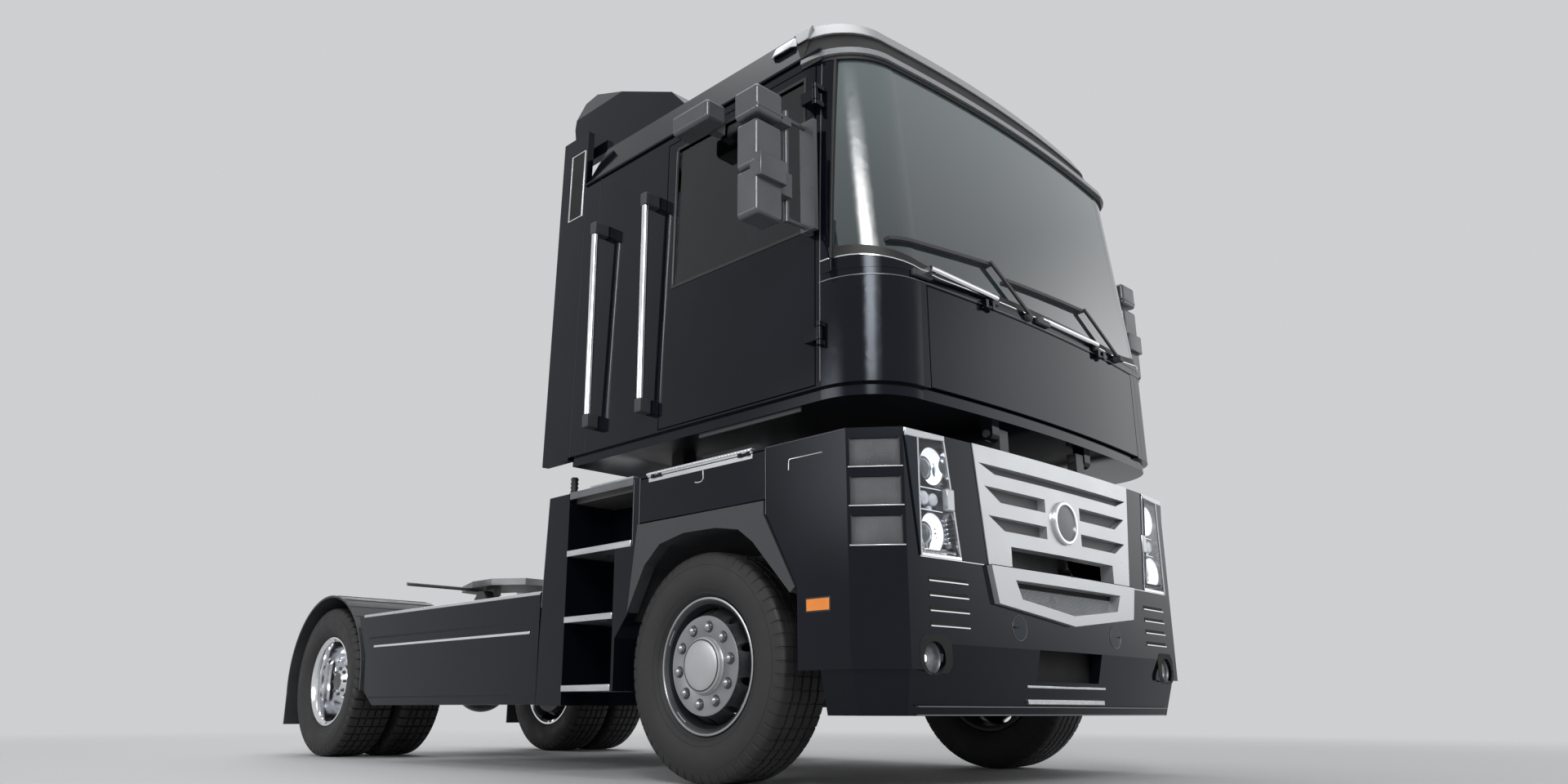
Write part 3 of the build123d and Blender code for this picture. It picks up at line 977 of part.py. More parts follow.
COLUMN_REACH = 420
with BuildPart() as dashboard:
    side_plate(((BULKHEAD_Y + 40, FLOOR_TOP + 150), (BULKHEAD_Y + 40, SCREEN_BOTTOM - 60), (-720, SCREEN_BOTTOM - 60),
                (-640, SCREEN_BOTTOM - 160), (-760, FLOOR_TOP + 150)), (-HALF, HALF))
    cab_block((CAB_BOTTOM, CAB_SHOULDER), CAB_WALL, mode=Mode.INTERSECT)

    column = Plane(origin=(620, A1 - 470, 2160), z_dir=(0, 0.6, 0.8))
    with BuildSketch(column) as hub:
        Circle(40)
    extrude(hub.sketch, amount=-COLUMN_REACH)
    with BuildSketch(column) as wheel:
        Circle(235)
        Circle(205, mode=Mode.SUBTRACT)
        for turn in (90, 210, 330):
            with PolarLocations(0, 1, start_angle=turn):
                with Locations((110, 0)):
                    Rectangle(200, 36)
    extrude(wheel.sketch, amount=26)
save(dashboard.part, "dashboard")
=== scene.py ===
"""Looks of the two-axle tractor unit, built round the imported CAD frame.

Metres, in the CAD frame: +X is the truck's left side, -Y its front, +Z up.
"""

import json
from math import copysign, cos, pi, radians, sin, sqrt

import bmesh
import bpy
from mathutils import Matrix, Vector


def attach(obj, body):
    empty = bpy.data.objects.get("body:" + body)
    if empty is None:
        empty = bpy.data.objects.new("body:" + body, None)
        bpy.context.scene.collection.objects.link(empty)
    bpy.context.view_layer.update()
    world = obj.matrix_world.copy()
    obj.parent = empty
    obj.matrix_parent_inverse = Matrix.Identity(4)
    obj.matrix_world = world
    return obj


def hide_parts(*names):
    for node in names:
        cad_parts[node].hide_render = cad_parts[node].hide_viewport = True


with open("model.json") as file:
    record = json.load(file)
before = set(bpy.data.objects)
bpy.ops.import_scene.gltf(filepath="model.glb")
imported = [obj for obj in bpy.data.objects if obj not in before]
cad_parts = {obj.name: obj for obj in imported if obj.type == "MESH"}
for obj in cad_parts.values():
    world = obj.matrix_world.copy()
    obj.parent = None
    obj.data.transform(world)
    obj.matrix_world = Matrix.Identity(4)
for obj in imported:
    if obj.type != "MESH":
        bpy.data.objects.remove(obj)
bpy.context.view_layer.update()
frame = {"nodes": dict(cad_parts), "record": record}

# ---------------- sizes taken from the CAD
A1, A2 = -1.79, 2.11      # y of the front axle and of the rear axle
AXLE_Z = 0.498
HALF = 1.25                # half the width of the body
WHEEL_X = 1.08             # middle of the front tyres and of the outer rear tyres
TWIN = 0.35                # from there in to the inner rear tyres
FRONT = A1 - 1.05          # y of the fronts of the cab and the module, before they bow
BOW = 0.045                 # how far the bow stands out
CORNER_R = 0.3            # round front corners of the cab
CORNER_X = 1.106            # where the module's slanted corners start
CORNER_DEEP = 0.175         # how far back they run
SCREEN_FOOT = 2.11         # z where the cab's front begins to lean back
DRIP_Z = 3.2              # z of the drip rail, where the roof starts
LAMP_Z = (0.893, 1.397)     # foot and top of a headlight
SIDES = ((-1, "right"), (1, "left"))
OUTWARD, FORWARD, UP = (1, 0, 0), (0, -1, 0), (0, 0, 1)


# ---------------- shader nodes
def node(tree, kind, **values):
    """A new shader node. An underscore in the name of a value stands for a space."""
    made = tree.nodes.new("ShaderNode" + kind)
    for name, value in values.items():
        made.inputs[name.replace("_", " ")].default_value = value
    return made


def calc(tree, operation, *values):
    """The result of a math node on sockets and plain numbers."""
    made = node(tree, "Math")
    made.operation = operation
    for i, value in enumerate(values):
        if isinstance(value, float):
            made.inputs[i].default_value = value
        else:
            tree.links.new(value, made.inputs[i])
    return made.outputs["Value"]


def spread(tree, source, start, end, low=0.0, high=1.0, smooth=False):
    """Source, mapped from start and end to low and high."""
    made = node(tree, "MapRange", From_Min=start, From_Max=end, To_Min=low, To_Max=high)
    if smooth:
        made.interpolation_type = "SMOOTHSTEP"
    tree.links.new(source, made.inputs["Value"])
    return made.outputs["Result"]


def ramp(tree, source, *stops):
    """A colour for source, between two stops of (position, colour)."""
    made = node(tree, "ValToRGB")
    for element, (at, color) in zip(made.color_ramp.elements, stops):
        element.position = at
        element.color = (*color, 1)
    tree.links.new(source, made.inputs["Fac"])
    return made.outputs["Color"]


def mix_colors(tree, share):
    """A node that mixes its inputs A and B by share."""
    made = node(tree, "Mix")
    made.data_type = "RGBA"
    tree.links.new(share, made.inputs["Factor"])
    return made


def blend(tree, share, first, second, output):
    """Sends first, and second by its share, to the tree's output node."""
    made = node(tree, "MixShader")
    for source, slot in ((share, "Fac"), (first, 1), (second, 2)):
        tree.links.new(source, made.inputs[slot])
    tree.links.new(made.outputs["Shader"], tree.nodes[output].inputs["Surface"])


# ---------------- materials
def material(name, color, rough, metal=0.0, vary=0.08, vary_scale=6.0, bump=0.0, bump_scale=300.0,
             rough_vary=0.06, coat=0.0, coat_rough=0.03, transmission=0.0, ior=1.5, stretch=(1, 1, 1),
             glow=(1, 1, 1), glow_power=0.0, wear=0.0, wear_color=(0.3, 0.3, 0.3), specular=0.5,
             tint=(1, 1, 1)):
    """A surface whose colour and roughness drift a little, with fine bumps and worn edges."""
    m = bpy.data.materials.new(name)
    m.use_nodes = True
    t = m.node_tree
    shader = t.nodes["Principled BSDF"]
    mapping = node(t, "Mapping", Scale=stretch)
    t.links.new(node(t, "TexCoord").outputs["Object"], mapping.inputs["Vector"])

    def noise(scale, detail):
        made = node(t, "TexNoise", Scale=scale, Detail=detail)
        t.links.new(mapping.outputs["Vector"], made.inputs["Vector"])
        return made.outputs["Fac"]

    broad = noise(vary_scale, 4.0)
    tone = mix_colors(t, spread(t, broad, 0.3, 0.7))
    for slot, change in (("A", 1 - vary), ("B", 1 + vary)):
        tone.inputs[slot].default_value = (*(min(1.0, c * change) for c in color), 1)
    if wear:
        edges = node(t, "NewGeometry").outputs["Pointiness"]
        worn = mix_colors(t, spread(t, edges, 0.52, 0.6, 0.0, wear))
        worn.inputs["B"].default_value = (*wear_color, 1)
        t.links.new(tone.outputs["Result"], worn.inputs["A"])
        tone = worn
    t.links.new(tone.outputs["Result"], shader.inputs["Base Color"])
    low, high = max(0.0, rough - rough_vary), min(1.0, rough + rough_vary)
    t.links.new(spread(t, broad, 0.3, 0.7, low, high), shader.inputs["Roughness"])
    if bump:
        grain = node(t, "Bump", Strength=bump, Distance=0.001)
        t.links.new(noise(bump_scale, 2.0), grain.inputs["Height"])
        t.links.new(grain.outputs["Normal"], shader.inputs["Normal"])
    for slot, value in (("Metallic", metal), ("Specular IOR Level", specular), ("Specular Tint", (*tint, 1)),
                        ("Coat Weight", coat), ("Coat Roughness", coat_rough), ("IOR", ior),
                        ("Transmission Weight", transmission), ("Emission Color", (*glow, 1)),
                        ("Emission Strength", glow_power)):
        shader.inputs[slot].default_value = value
    return m


# name, the record's slot it belongs to, colour, roughness, the rest
LOOKS = (
    ("body_paint", "body_paint", (0.0042, 0.0052, 0.0085), 0.09, dict(
        vary=0.25, vary_scale=2.0, bump=0.012, bump_scale=90, rough_vary=0.02, specular=0.24,
        tint=(0.82, 0.89, 1.0))),
    ("lower_paint", "body_paint", (0.01, 0.0145, 0.021), 0.14, dict(
        vary=0.12, vary_scale=3.0, bump=0.012, bump_scale=120, specular=0.25, tint=(0.76, 0.87, 1.0))),
    ("chassis_paint", "chassis_paint", (0.03, 0.031, 0.034), 0.42, dict(
        vary=0.35, vary_scale=9, bump=0.25, bump_scale=180, wear=0.35, wear_color=(0.16, 0.15, 0.14))),
    ("arch_plastic", "arch_plastic", (0.04, 0.042, 0.047), 0.5, dict(vary=0.12, bump=0.5, bump_scale=900)),
    ("black_rubber", "arch_plastic", (0.012, 0.012, 0.013), 0.55, dict(vary=0.2, bump=0.3, bump_scale=500)),
    # near-black that paints the shade inside openings, slots, recesses, grooves and gaps
    ("painted_shade_black", "arch_plastic", (0.006, 0.006, 0.006), 0.8, dict(vary=0.1, bump=0.3, bump_scale=200)),
    ("mirror_shell", "arch_plastic", (0.105, 0.11, 0.118), 0.3, dict(
        metal=0.3, vary=0.06, bump=0.05, bump_scale=500)),
    ("silver_trim", "silver_trim", (0.6, 0.615, 0.635), 0.32, dict(
        metal=0.55, vary=0.03, coat=0.3, coat_rough=0.1)),
    ("silver_dark", "silver_trim", (0.16, 0.165, 0.175), 0.38, dict(
        metal=0.6, vary=0.1, bump=0.1, bump_scale=700)),
    # light grey that paints the highlight on the cab's brow and visor bands
    ("painted_highlight_grey", "silver_trim", (0.33, 0.34, 0.35), 0.3, dict(
        metal=0.3, vary=0.05, bump=0.03, bump_scale=200)),
    ("mesh_wire", "silver_trim", (0.38, 0.385, 0.395), 0.32, dict(metal=0.8, vary=0.1, bump=0.1)),
    # dark grey that paints the shade on the floors of the grille's recesses
    ("painted_recess_shade", "silver_trim", (0.115, 0.118, 0.123), 0.5, dict(
        metal=0.4, vary=0.2, vary_scale=300, bump=0.6, bump_scale=900)),
    ("bright_metal", "bright_metal", (0.86, 0.87, 0.89), 0.09, dict(metal=1.0, vary=0.03, rough_vary=0.03)),
    ("reflector", "bright_metal", (0.88, 0.9, 0.93), 0.08, dict(
        metal=1.0, vary=0.03, bump=0.1, bump_scale=60)),
    ("mirror_glass", "bright_metal", (0.82, 0.85, 0.88), 0.02, dict(metal=1.0, vary=0.02, rough_vary=0.005)),
    ("wheel_steel", "wheel_steel", (0.045, 0.047, 0.052), 0.34, dict(
        metal=0.5, vary=0.18, bump=0.15, bump_scale=400, wear=0.3)),
    ("nut_disc", "wheel_steel", (0.27, 0.275, 0.285), 0.36, dict(
        metal=0.45, vary=0.08, bump=0.12, bump_scale=600)),
    ("hub_cap", "wheel_steel", (0.5, 0.505, 0.515), 0.34, dict(
        metal=0.45, vary=0.06, bump=0.08, bump_scale=600)),
    ("nut_cover", "wheel_steel", (0.34, 0.345, 0.355), 0.2, dict(metal=0.85, vary=0.08)),
    ("polished_rim", "polished_rim", (0.8, 0.81, 0.83), 0.1, dict(
        metal=1.0, vary=0.05, rough_vary=0.05, bump=0.05, bump_scale=60)),
    ("rim_edge", "polished_rim", (0.42, 0.43, 0.44), 0.24, dict(metal=0.9, vary=0.08)),
    ("tyre_rubber", "tyre_rubber", (0.018, 0.018, 0.019), 0.62, dict(
        vary=0.25, vary_scale=12, bump=0.4, bump_scale=420, rough_vary=0.1)),
    ("tinted_glass", "tinted_glass", (0.13, 0.19, 0.2), 0.02, dict(
        vary=0.02, rough_vary=0.005, transmission=1.0, ior=1.45)),
    ("screen_glass", "tinted_glass", (0.1, 0.1, 0.1), 0.02, dict(
        vary=0.0, rough_vary=0.0, transmission=0.3, ior=1.55, specular=0.8, coat=1.0, coat_rough=0.02)),
    ("lamp_lens", "lamp_lens", (0.95, 0.97, 1.0), 0.01, dict(
        vary=0.01, rough_vary=0.003, transmission=1.0, ior=1.2)),
    ("white_lens", "lamp_lens", (0.75, 0.77, 0.8), 0.12, dict(
        vary=0.05, bump=0.15, bump_scale=250, coat=0.8)),
    ("lamp_white", "lamp_lens", (0.9, 0.91, 0.93), 0.22, dict(
        vary=0.03, coat=0.5, glow=(0.97, 0.98, 1.0), glow_power=0.55)),
    ("lit_bulb", "lamp_lens", (0.95, 0.96, 1.0), 0.2, dict(glow=(1.0, 0.98, 0.95), glow_power=2.2)),
    ("dark_gloss", "lamp_lens", (0.1, 0.11, 0.12), 0.05, dict(metal=0.4, vary=0.3, vary_scale=40, coat=1.0)),
    ("tail_lens", "tail_lens", (0.45, 0.012, 0.012), 0.15, dict(
        vary=0.1, bump=0.2, bump_scale=250, coat=0.8)),
    ("amber", "tail_lens", (0.85, 0.24, 0.02), 0.18, dict(
        vary=0.1, bump=0.2, bump_scale=250, coat=0.6, glow=(1.0, 0.3, 0.03), glow_power=0.12)),
    ("cabin_trim", "cabin_trim", (0.1, 0.1, 0.105), 0.6, dict(vary=0.1, bump=0.5, bump_scale=700)),
    ("seat_fabric", "seat_fabric", (0.075, 0.078, 0.09), 0.85, dict(
        vary=0.3, vary_scale=60, bump=0.8, bump_scale=900)),
    ("cast_metal", "cast_metal", (0.13, 0.13, 0.135), 0.55, dict(
        metal=0.6, vary=0.3, vary_scale=14, bump=0.6, bump_scale=160)),
    ("radiator_metal", "radiator_metal", (0.22, 0.225, 0.23), 0.45, dict(metal=0.8, vary=0.2, bump=0.4)),
    ("coupling_steel", "coupling_steel", (0.13, 0.13, 0.135), 0.38, dict(
        metal=0.8, vary=0.35, vary_scale=10, bump=0.35, bump_scale=120, wear=0.5,
        wear_color=(0.5, 0.5, 0.5))),
    ("deck_plate", "deck_plate", (0.45, 0.46, 0.475), 0.33, dict(
        metal=0.9, vary=0.15, vary_scale=20, bump=0.2, bump_scale=250)),
    ("brushed", "deck_plate", (0.62, 0.63, 0.65), 0.28, dict(
        metal=1.0, vary=0.1, vary_scale=40, bump=0.15, bump_scale=220, stretch=(1, 0.08, 1))),
    ("tank_metal", "tank_metal", (0.6, 0.61, 0.63), 0.25, dict(
        metal=1.0, vary=0.12, vary_scale=30, bump=0.12, bump_scale=180, stretch=(1, 0.05, 1))),
)
M = {name: material(name, color, rough, **more) for name, _, color, rough, more in LOOKS}


def shade_screen():
    """Makes the windscreen darker at its foot, paler and bluer towards its top: a painted reflection in the
    glass's base colour.
    """
    t = M["screen_glass"].node_tree
    split = node(t, "SeparateXYZ")
    t.links.new(node(t, "TexCoord").outputs["Object"], split.inputs["Vector"])
    height = spread(t, split.outputs["Z"], SCREEN_FOOT, 3.17)
    tint = ramp(t, height, (0.05, (0.028, 0.046, 0.05)), (0.95, (0.15, 0.195, 0.205)))
    t.links.new(tint, t.nodes["Principled BSDF"].inputs["Base Color"])


def dress_frame():
    """Gives each CAD node the look of its slot, or its own."""
    own = {"windscreen": "screen_glass", "mirror_left": "mirror_shell", "mirror_right": "mirror_shell"}
    for entry in frame["record"]["subparts"]:
        look = own.get(entry["node"], entry["material_slot"])
        for slot in frame["nodes"][entry["node"]].material_slots:
            slot.material = M[look]


# ---------------- floor, light and camera
BACKDROP = (0.62, 0.625, 0.635)
SKY = (0.96, 0.98, 1.0)
SKY_POWER = 0.42
FLOOR_HALF = 60.0
FLOOR_FADE = (4.0, 12.0)    # from the middle: where the floor starts and ends its run into the backdrop
LAMPS = (
    # name, place, aim, size, power, whether it lights matt surfaces
    ("strip", (-8.6, -11.4, 8.6), (-1.1, -2.7, 2.8), (8.0, 9.0), 1300, False),
    ("key", (-9.0, -11.0, 8.0), (0, -1.5, 1.6), (5.0, 8.0), 1500, True),
    ("side", (-14.0, 3.0, 5.0), (-1, 0.5, 1.2), (14.0, 5.0), 1100, True),
    ("top", (0.0, 0.0, 11.0), (0, 0, 2.0), (8.0, 12.0), 900, True),
    ("fill", (12.0, -9.0, 5.0), (0, -1.0, 1.5), (16.0, 10.0), 520, True),
    ("rim", (4.0, 12.0, 7.0), (0, 1.0, 1.5), (12.0, 5.0), 700, True),
)
CAM_PLACE = (-4.4096, A1 - 3.5761, 0.3075)
CAM_YAW, CAM_PITCH, CAM_ROLL = (radians(a) for a in (43.708, 15.509, -0.158))
CAM_LENS = 24.53
CAM_SHIFT = (0.0275, 0.0142)


def place_object(name, data):
    """A new object of the scene."""
    made = bpy.data.objects.new(name, data)
    bpy.context.collection.objects.link(made)
    return made


def watched(t):
    """1 for camera, glossy and transmission rays."""
    path = node(t, "LightPath")
    seen = path.outputs["Is Camera Ray"]
    for ray in ("Is Glossy Ray", "Is Transmission Ray"):
        seen = calc(t, "MAXIMUM", seen, path.outputs[ray])
    return seen


def soften(lamp):
    """Fades an area lamp towards its edges, so that it has no hard outline in a reflection."""
    lamp.use_nodes = True
    t = lamp.node_tree
    split = node(t, "SeparateXYZ")
    t.links.new(node(t, "NewGeometry").outputs["Parametric"], split.inputs["Vector"])
    fades = []
    for axis in ("X", "Y"):
        off = calc(t, "ABSOLUTE", calc(t, "SUBTRACT", split.outputs[axis], 0.5))
        fades.append(spread(t, off, 0.1, 0.5, 1.0, 0.0, smooth=True))
    t.links.new(calc(t, "MULTIPLY", *fades), t.nodes["Emission"].inputs["Strength"])


def build_floor():
    s = FLOOR_HALF
    mesh = bpy.data.meshes.new("floor")
    mesh.from_pydata([(-s, -s, 0), (s, -s, 0), (s, s, 0), (-s, s, 0)], [], [(0, 1, 2, 3)])
    m = bpy.data.materials.new("floor_pale")
    m.use_nodes = True
    t = m.node_tree
    shader = t.nodes["Principled BSDF"]
    shader.inputs["Roughness"].default_value = 0.7
    cloud = node(t, "TexNoise", Scale=1.5).outputs["Fac"]
    pale = ramp(t, cloud, (0.0, (0.6, 0.6, 0.61)), (1.0, (0.63, 0.63, 0.64)))
    t.links.new(pale, shader.inputs["Base Color"])
    length = node(t, "VectorMath")
    length.operation = "LENGTH"
    t.links.new(node(t, "NewGeometry").outputs["Position"], length.inputs[0])
    far = spread(t, length.outputs["Value"], *FLOOR_FADE, smooth=True)
    plain = node(t, "Emission", Color=(*BACKDROP, 1))
    share = calc(t, "MULTIPLY", far, watched(t))
    blend(t, share, shader.outputs["BSDF"], plain.outputs["Emission"], "Material Output")
    mesh.materials.append(m)
    place_object("floor", mesh)


def build_world():
    world = bpy.data.worlds.new("studio")
    bpy.context.scene.world = world
    world.use_nodes = True
    t = world.node_tree
    back = t.nodes["Background"]
    back.inputs["Color"].default_value = (*SKY, 1)
    back.inputs["Strength"].default_value = SKY_POWER
    plain = node(t, "Background", Color=(*BACKDROP, 1))
    blend(t, watched(t), back.outputs["Background"], plain.outputs["Background"], "World Output")


def build_lamps():
    for name, place, aim, size, power, on_matt in LAMPS:
        lamp = bpy.data.lights.new(name, "AREA")
        lamp.shape = "RECTANGLE"
        lamp.size, lamp.size_y = size
        lamp.energy = power
        soften(lamp)
        o = place_object(name, lamp)
        o.visible_camera = False
        o.visible_diffuse = on_matt
        o.location = place
        o.rotation_euler = (Vector(aim) - Vector(place)).to_track_quat("-Z", "Y").to_euler()


def build_camera():
    flat = cos(CAM_PITCH)
    forward = Vector((sin(CAM_YAW) * flat, cos(CAM_YAW) * flat, sin(CAM_PITCH)))
    right = Vector((cos(CAM_YAW), -sin(CAM_YAW), 0))
    up = right.cross(forward)
    spin = Matrix.Rotation(CAM_ROLL, 3, forward)
    cam = bpy.data.cameras.new("camera")
    cam.sensor_width = 36.0
    cam.lens = CAM_LENS
    cam.shift_x, cam.shift_y = CAM_SHIFT
    cam.clip_end = 300
    o = place_object("camera", cam)
    m = Matrix((spin @ right, spin @ up, -forward)).transposed().to_4x4()
    m.translation = Vector(CAM_PLACE)
    o.matrix_world = m
    bpy.context.scene.camera = o


# ---------------- the shapes of the fronts and sides
def steps(start, end, count):
    """Values at count equal steps from start to end, both included."""
    return [start + (end - start) * k / count for k in range(count + 1)]


def around(count, first=0.0, turn=2 * pi):
    """Angles at count equal steps of a turn, its end left out."""
    return [first + turn * k / count for k in range(count)]


def bulge(x, half):
    """How far a front that bows between -half and half stands out at x."""
    radius = (half * half + BOW * BOW) / (2 * BOW)
    return sqrt(radius * radius - x * x) - (radius - BOW)


def wall_x(z, out=0.0):
    """Half width of the cab at height z, with a distance out of its face."""
    return HALF - 0.035 * (z - 1.6) / 1.6 + out


def rake(z):
    """How far the front leans back at height z, up to the drip rail."""
    return 0.115 * min(max(z - SCREEN_FOOT, 0.0), 1.09) / 1.09


def side_at(y, z, out=0.0):
    """The cab's side at y (from A1) and height z, also where its front corner curves in."""
    start = FRONT - A1 + rake(z) + CORNER_R
    if y >= start:
        return wall_x(z, out)
    depth = min(CORNER_R, start - y)
    return wall_x(z, -CORNER_R) + sqrt(max(0.0, (CORNER_R + out) ** 2 - depth ** 2))


def front_path(z, out, rear):
    """Points round the cab's front from its right side to its left, back to rear (from A1)."""
    above = max(0.0, z - DRIP_Z) / 0.24
    inset = 0.085 * above
    side = wall_x(min(z, DRIP_Z), out) - inset
    front = FRONT - out + rake(z) + 0.04 * above + inset
    flat = side - CORNER_R
    corner = [(flat + CORNER_R * cos(t), front + CORNER_R - CORNER_R * sin(t))
              for t in steps(0.0, pi / 2, 10)]
    path = [(side, A1 + rear), *corner]
    middle = [(x, front - bulge(x, flat)) for x in steps(-flat, flat, 16)[1:-1]]
    return [(x, y, z) for x, y in [(-x, y) for x, y in path] + middle + path[::-1]]


def lifted(path, rise):
    """The same path, lifted by rise where the front turns into the side."""
    lifts = [rise * min(max((abs(x) - 0.85) / 0.35, 0.0), 1.0) for x, _, _ in path]
    return [(x, y + rake(z + dz) - rake(z), z + dz) for (x, y, z), dz in zip(path, lifts)]


def cab_front_y(x, out=0.0):
    """The cab's front face at x near its middle height."""
    flat = HALF - 0.012 - CORNER_R
    if abs(x) <= flat:
        return FRONT - out - bulge(x, flat)
    return FRONT - out + CORNER_R - sqrt(max(0.0, CORNER_R ** 2 - (abs(x) - flat) ** 2))


def module_y(x, out=0.0):
    """The lower module's front face at x."""
    if abs(x) <= CORNER_X:
        return FRONT - out - bulge(x, CORNER_X)
    return FRONT - out + (abs(x) - CORNER_X) / (HALF - CORNER_X) * CORNER_DEEP


def lamp_edges(z):
    """A headlight's inner and outer x at height z: it leans with the front's slant."""
    share = (z - 0.89) / 0.51
    return 0.781 + 0.08 * share, 1.036 + 0.07 * share


def rounded(x, z, r, corner=5):
    """Outline in (x, z) of a rectangle with rounded corners."""
    left, right, low, top = x[0] + r, x[1] - r, z[0] + r, z[1] - r
    middles = ((right, top), (left, top), (left, low), (right, low))
    return [(cx + r * cos(t), cz + r * sin(t)) for k, (cx, cz) in enumerate(middles)
            for t in steps(k * pi / 2, (k + 1) * pi / 2, corner)]


# ---------------- mesh pieces
class Piece:
    """Collects simple solids into a mesh, then hands it to its body.

    A name with {} in it makes a pair: it is drawn as on the left, and the right one is mirrored.
    """

    def __init__(self, name, mat, body="chassis"):
        self.name, self.mat, self.body = name, mat, body
        self.sides = SIDES if "{}" in name else ((1, ""),)
        self.meshes = {side: ([], []) for side, _ in self.sides}

    def add(self, side, points, faces):
        verts, polys = self.meshes[side]
        n = len(verts)
        verts += [tuple(p) for p in points]
        polys += [tuple(i + n for i in f) for f in faces]

    def weave(self, side, rings, caps=True, loop=False, closed=True):
        """Faces between rings of points that are on their own side already."""
        n, count = len(rings[0]), len(rings)
        faces = []
        for k in range(count if loop else count - 1):
            a, b = k * n, (k + 1) % count * n
            for i in range(n if closed else n - 1):
                j = (i + 1) % n
                faces.append((a + i, a + j, b + j, b + i))
        if caps:
            faces += [tuple(range(n - 1, -1, -1)), tuple(range((count - 1) * n, count * n))]
        self.add(side, [p for ring in rings for p in ring], faces)

    def loft(self, rings, **more):
        for side in self.meshes:
            self.weave(side, [[(side * x, y, z) for x, y, z in ring] for ring in rings], **more)
        return self

    def prism(self, outline, axis, span):
        """An outline in the plane across an axis, drawn out along it."""
        at = "xyz".index(axis)
        return self.loft([[(*p[:at], t, *p[at:]) for p in outline] for t in span])

    def box(self, x, y, z):
        (y0, y1), (z0, z1) = y, z
        return self.prism(((y0, z0), (y1, z0), (y1, z1), (y0, z1)), "x", x)

    def tube(self, points, radius, seg=12):
        radii = radius if isinstance(radius, list) else [radius] * len(points)
        for mirror in self.meshes:
            pts = [Vector((mirror * x, y, z)) for x, y, z in points]
            rings, side = [], (pts[1] - pts[0]).orthogonal()
            for i, (p, r) in enumerate(zip(pts, radii)):
                run = (pts[min(i + 1, len(pts) - 1)] - pts[max(i - 1, 0)]).normalized()
                side = (side - run * side.dot(run)).normalized()
                other = run.cross(side)
                rings.append([p + r * (cos(t) * side + sin(t) * other) for t in around(seg)])
            self.weave(mirror, rings)
        return self

    def turned(self, centre, out, profile, seg=64):
        """A surface of revolution: profile points are (distance along out, radius)."""
        for mirror in self.meshes:
            middle, axis = (Vector((mirror * x, y, z)) for x, y, z in (centre, out))
            side = Vector(OUTWARD if out == UP else UP)
            other = axis.cross(side)
            self.weave(mirror, [[middle + axis * a + max(r, 1e-5) * (cos(t) * side + sin(t) * other)
                                 for t in around(seg)] for a, r in profile], caps=False)
        return self

    def bowed(self, x, z, out, face=module_y, n=10):
        """A bar that follows a bowed front between two x, two z and two distances out of it."""
        corners = ((out[0], z[0]), (out[1], z[0]), (out[1], z[1]), (out[0], z[1]))
        return self.loft([[(px, face(px, o), pz) for o, pz in corners] for px in steps(*x, n)])

    def side_bar(self, y, z, out):
        """A bar on the leaning side wall between two y (from A1), two z and two distances out."""
        corners = ((y[0], out[0]), (y[0], out[1]), (y[1], out[1]), (y[1], out[0]))
        levels = steps(*z, 12 if y[0] < -0.6 else 1)
        return self.loft([[(side_at(py, pz, o), A1 + py, pz) for py, o in corners] for pz in levels])

    def side_frame(self, outline, grow, low, high):
        """A frame that lies on the leaning side wall round an outline of (y from A1, z)."""
        cy, cz = (sum(p[i] for p in outline) / len(outline) for i in (0, 1))
        rings = []
        for g, out in ((0.0, low), (0.0, high), (grow, high), (grow, low)):
            wider = [(y + copysign(g, y - cy), z + copysign(g, z - cz)) for y, z in outline]
            rings.append([(wall_x(z, out), A1 + y, z) for y, z in wider])
        return self.loft(rings, caps=False, loop=True)

    def lamp_sheet(self, depth, margin, z):
        """A sheet that follows the module's front at a depth, inside a headlight's outline."""
        rows = []
        for pz in steps(*z, 12):
            inner, outer = lamp_edges(pz)
            rows.append([(x, module_y(x, -depth), pz) for x in steps(inner + margin, outer - margin, 8)])
        return self.loft(rows, caps=False, closed=False)

    def done(self, **finish):
        """Makes the objects: one, or the right and the left one of a pair."""
        return [self.make(self.name.format(word), self.body.format(word), *self.meshes[side], **finish)
                for side, word in self.sides]

    def make(self, name, body, verts, polys, bevel=0.0, angle=35, segments=2, solid=0.0):
        mesh = bpy.data.meshes.new(name)
        mesh.from_pydata(verts, [], polys)
        mesh.update()
        bm = bmesh.new()
        bm.from_mesh(mesh)
        bmesh.ops.remove_doubles(bm, verts=bm.verts, dist=2e-6)
        bmesh.ops.recalc_face_normals(bm, faces=bm.faces)
        bm.to_mesh(mesh)
        bm.free()
        mesh.shade_smooth()
        mesh.set_sharp_from_angle(angle=radians(angle))
        mesh.materials.append(M[self.mat])
        obj = place_object(name, mesh)
        if solid:
            wall = obj.modifiers.new("wall", "SOLIDIFY")
            wall.thickness = solid
            wall.offset = 0
        if bevel:
            soft = obj.modifiers.new("soft", "BEVEL")
            soft.width = bevel
            soft.segments = segments
            soft.limit_method = "ANGLE"
            soft.angle_limit = radians(30)
        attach(obj, body)
        return obj


# ---------------- wheels
NUT_CIRCLE = 0.1675
RIM_LIP = ((0.104, 0.279), (0.116, 0.285), (0.1207, 0.288), (0.1212, 0.2925), (0.1195, 0.2972),
           (0.112, 0.2975))


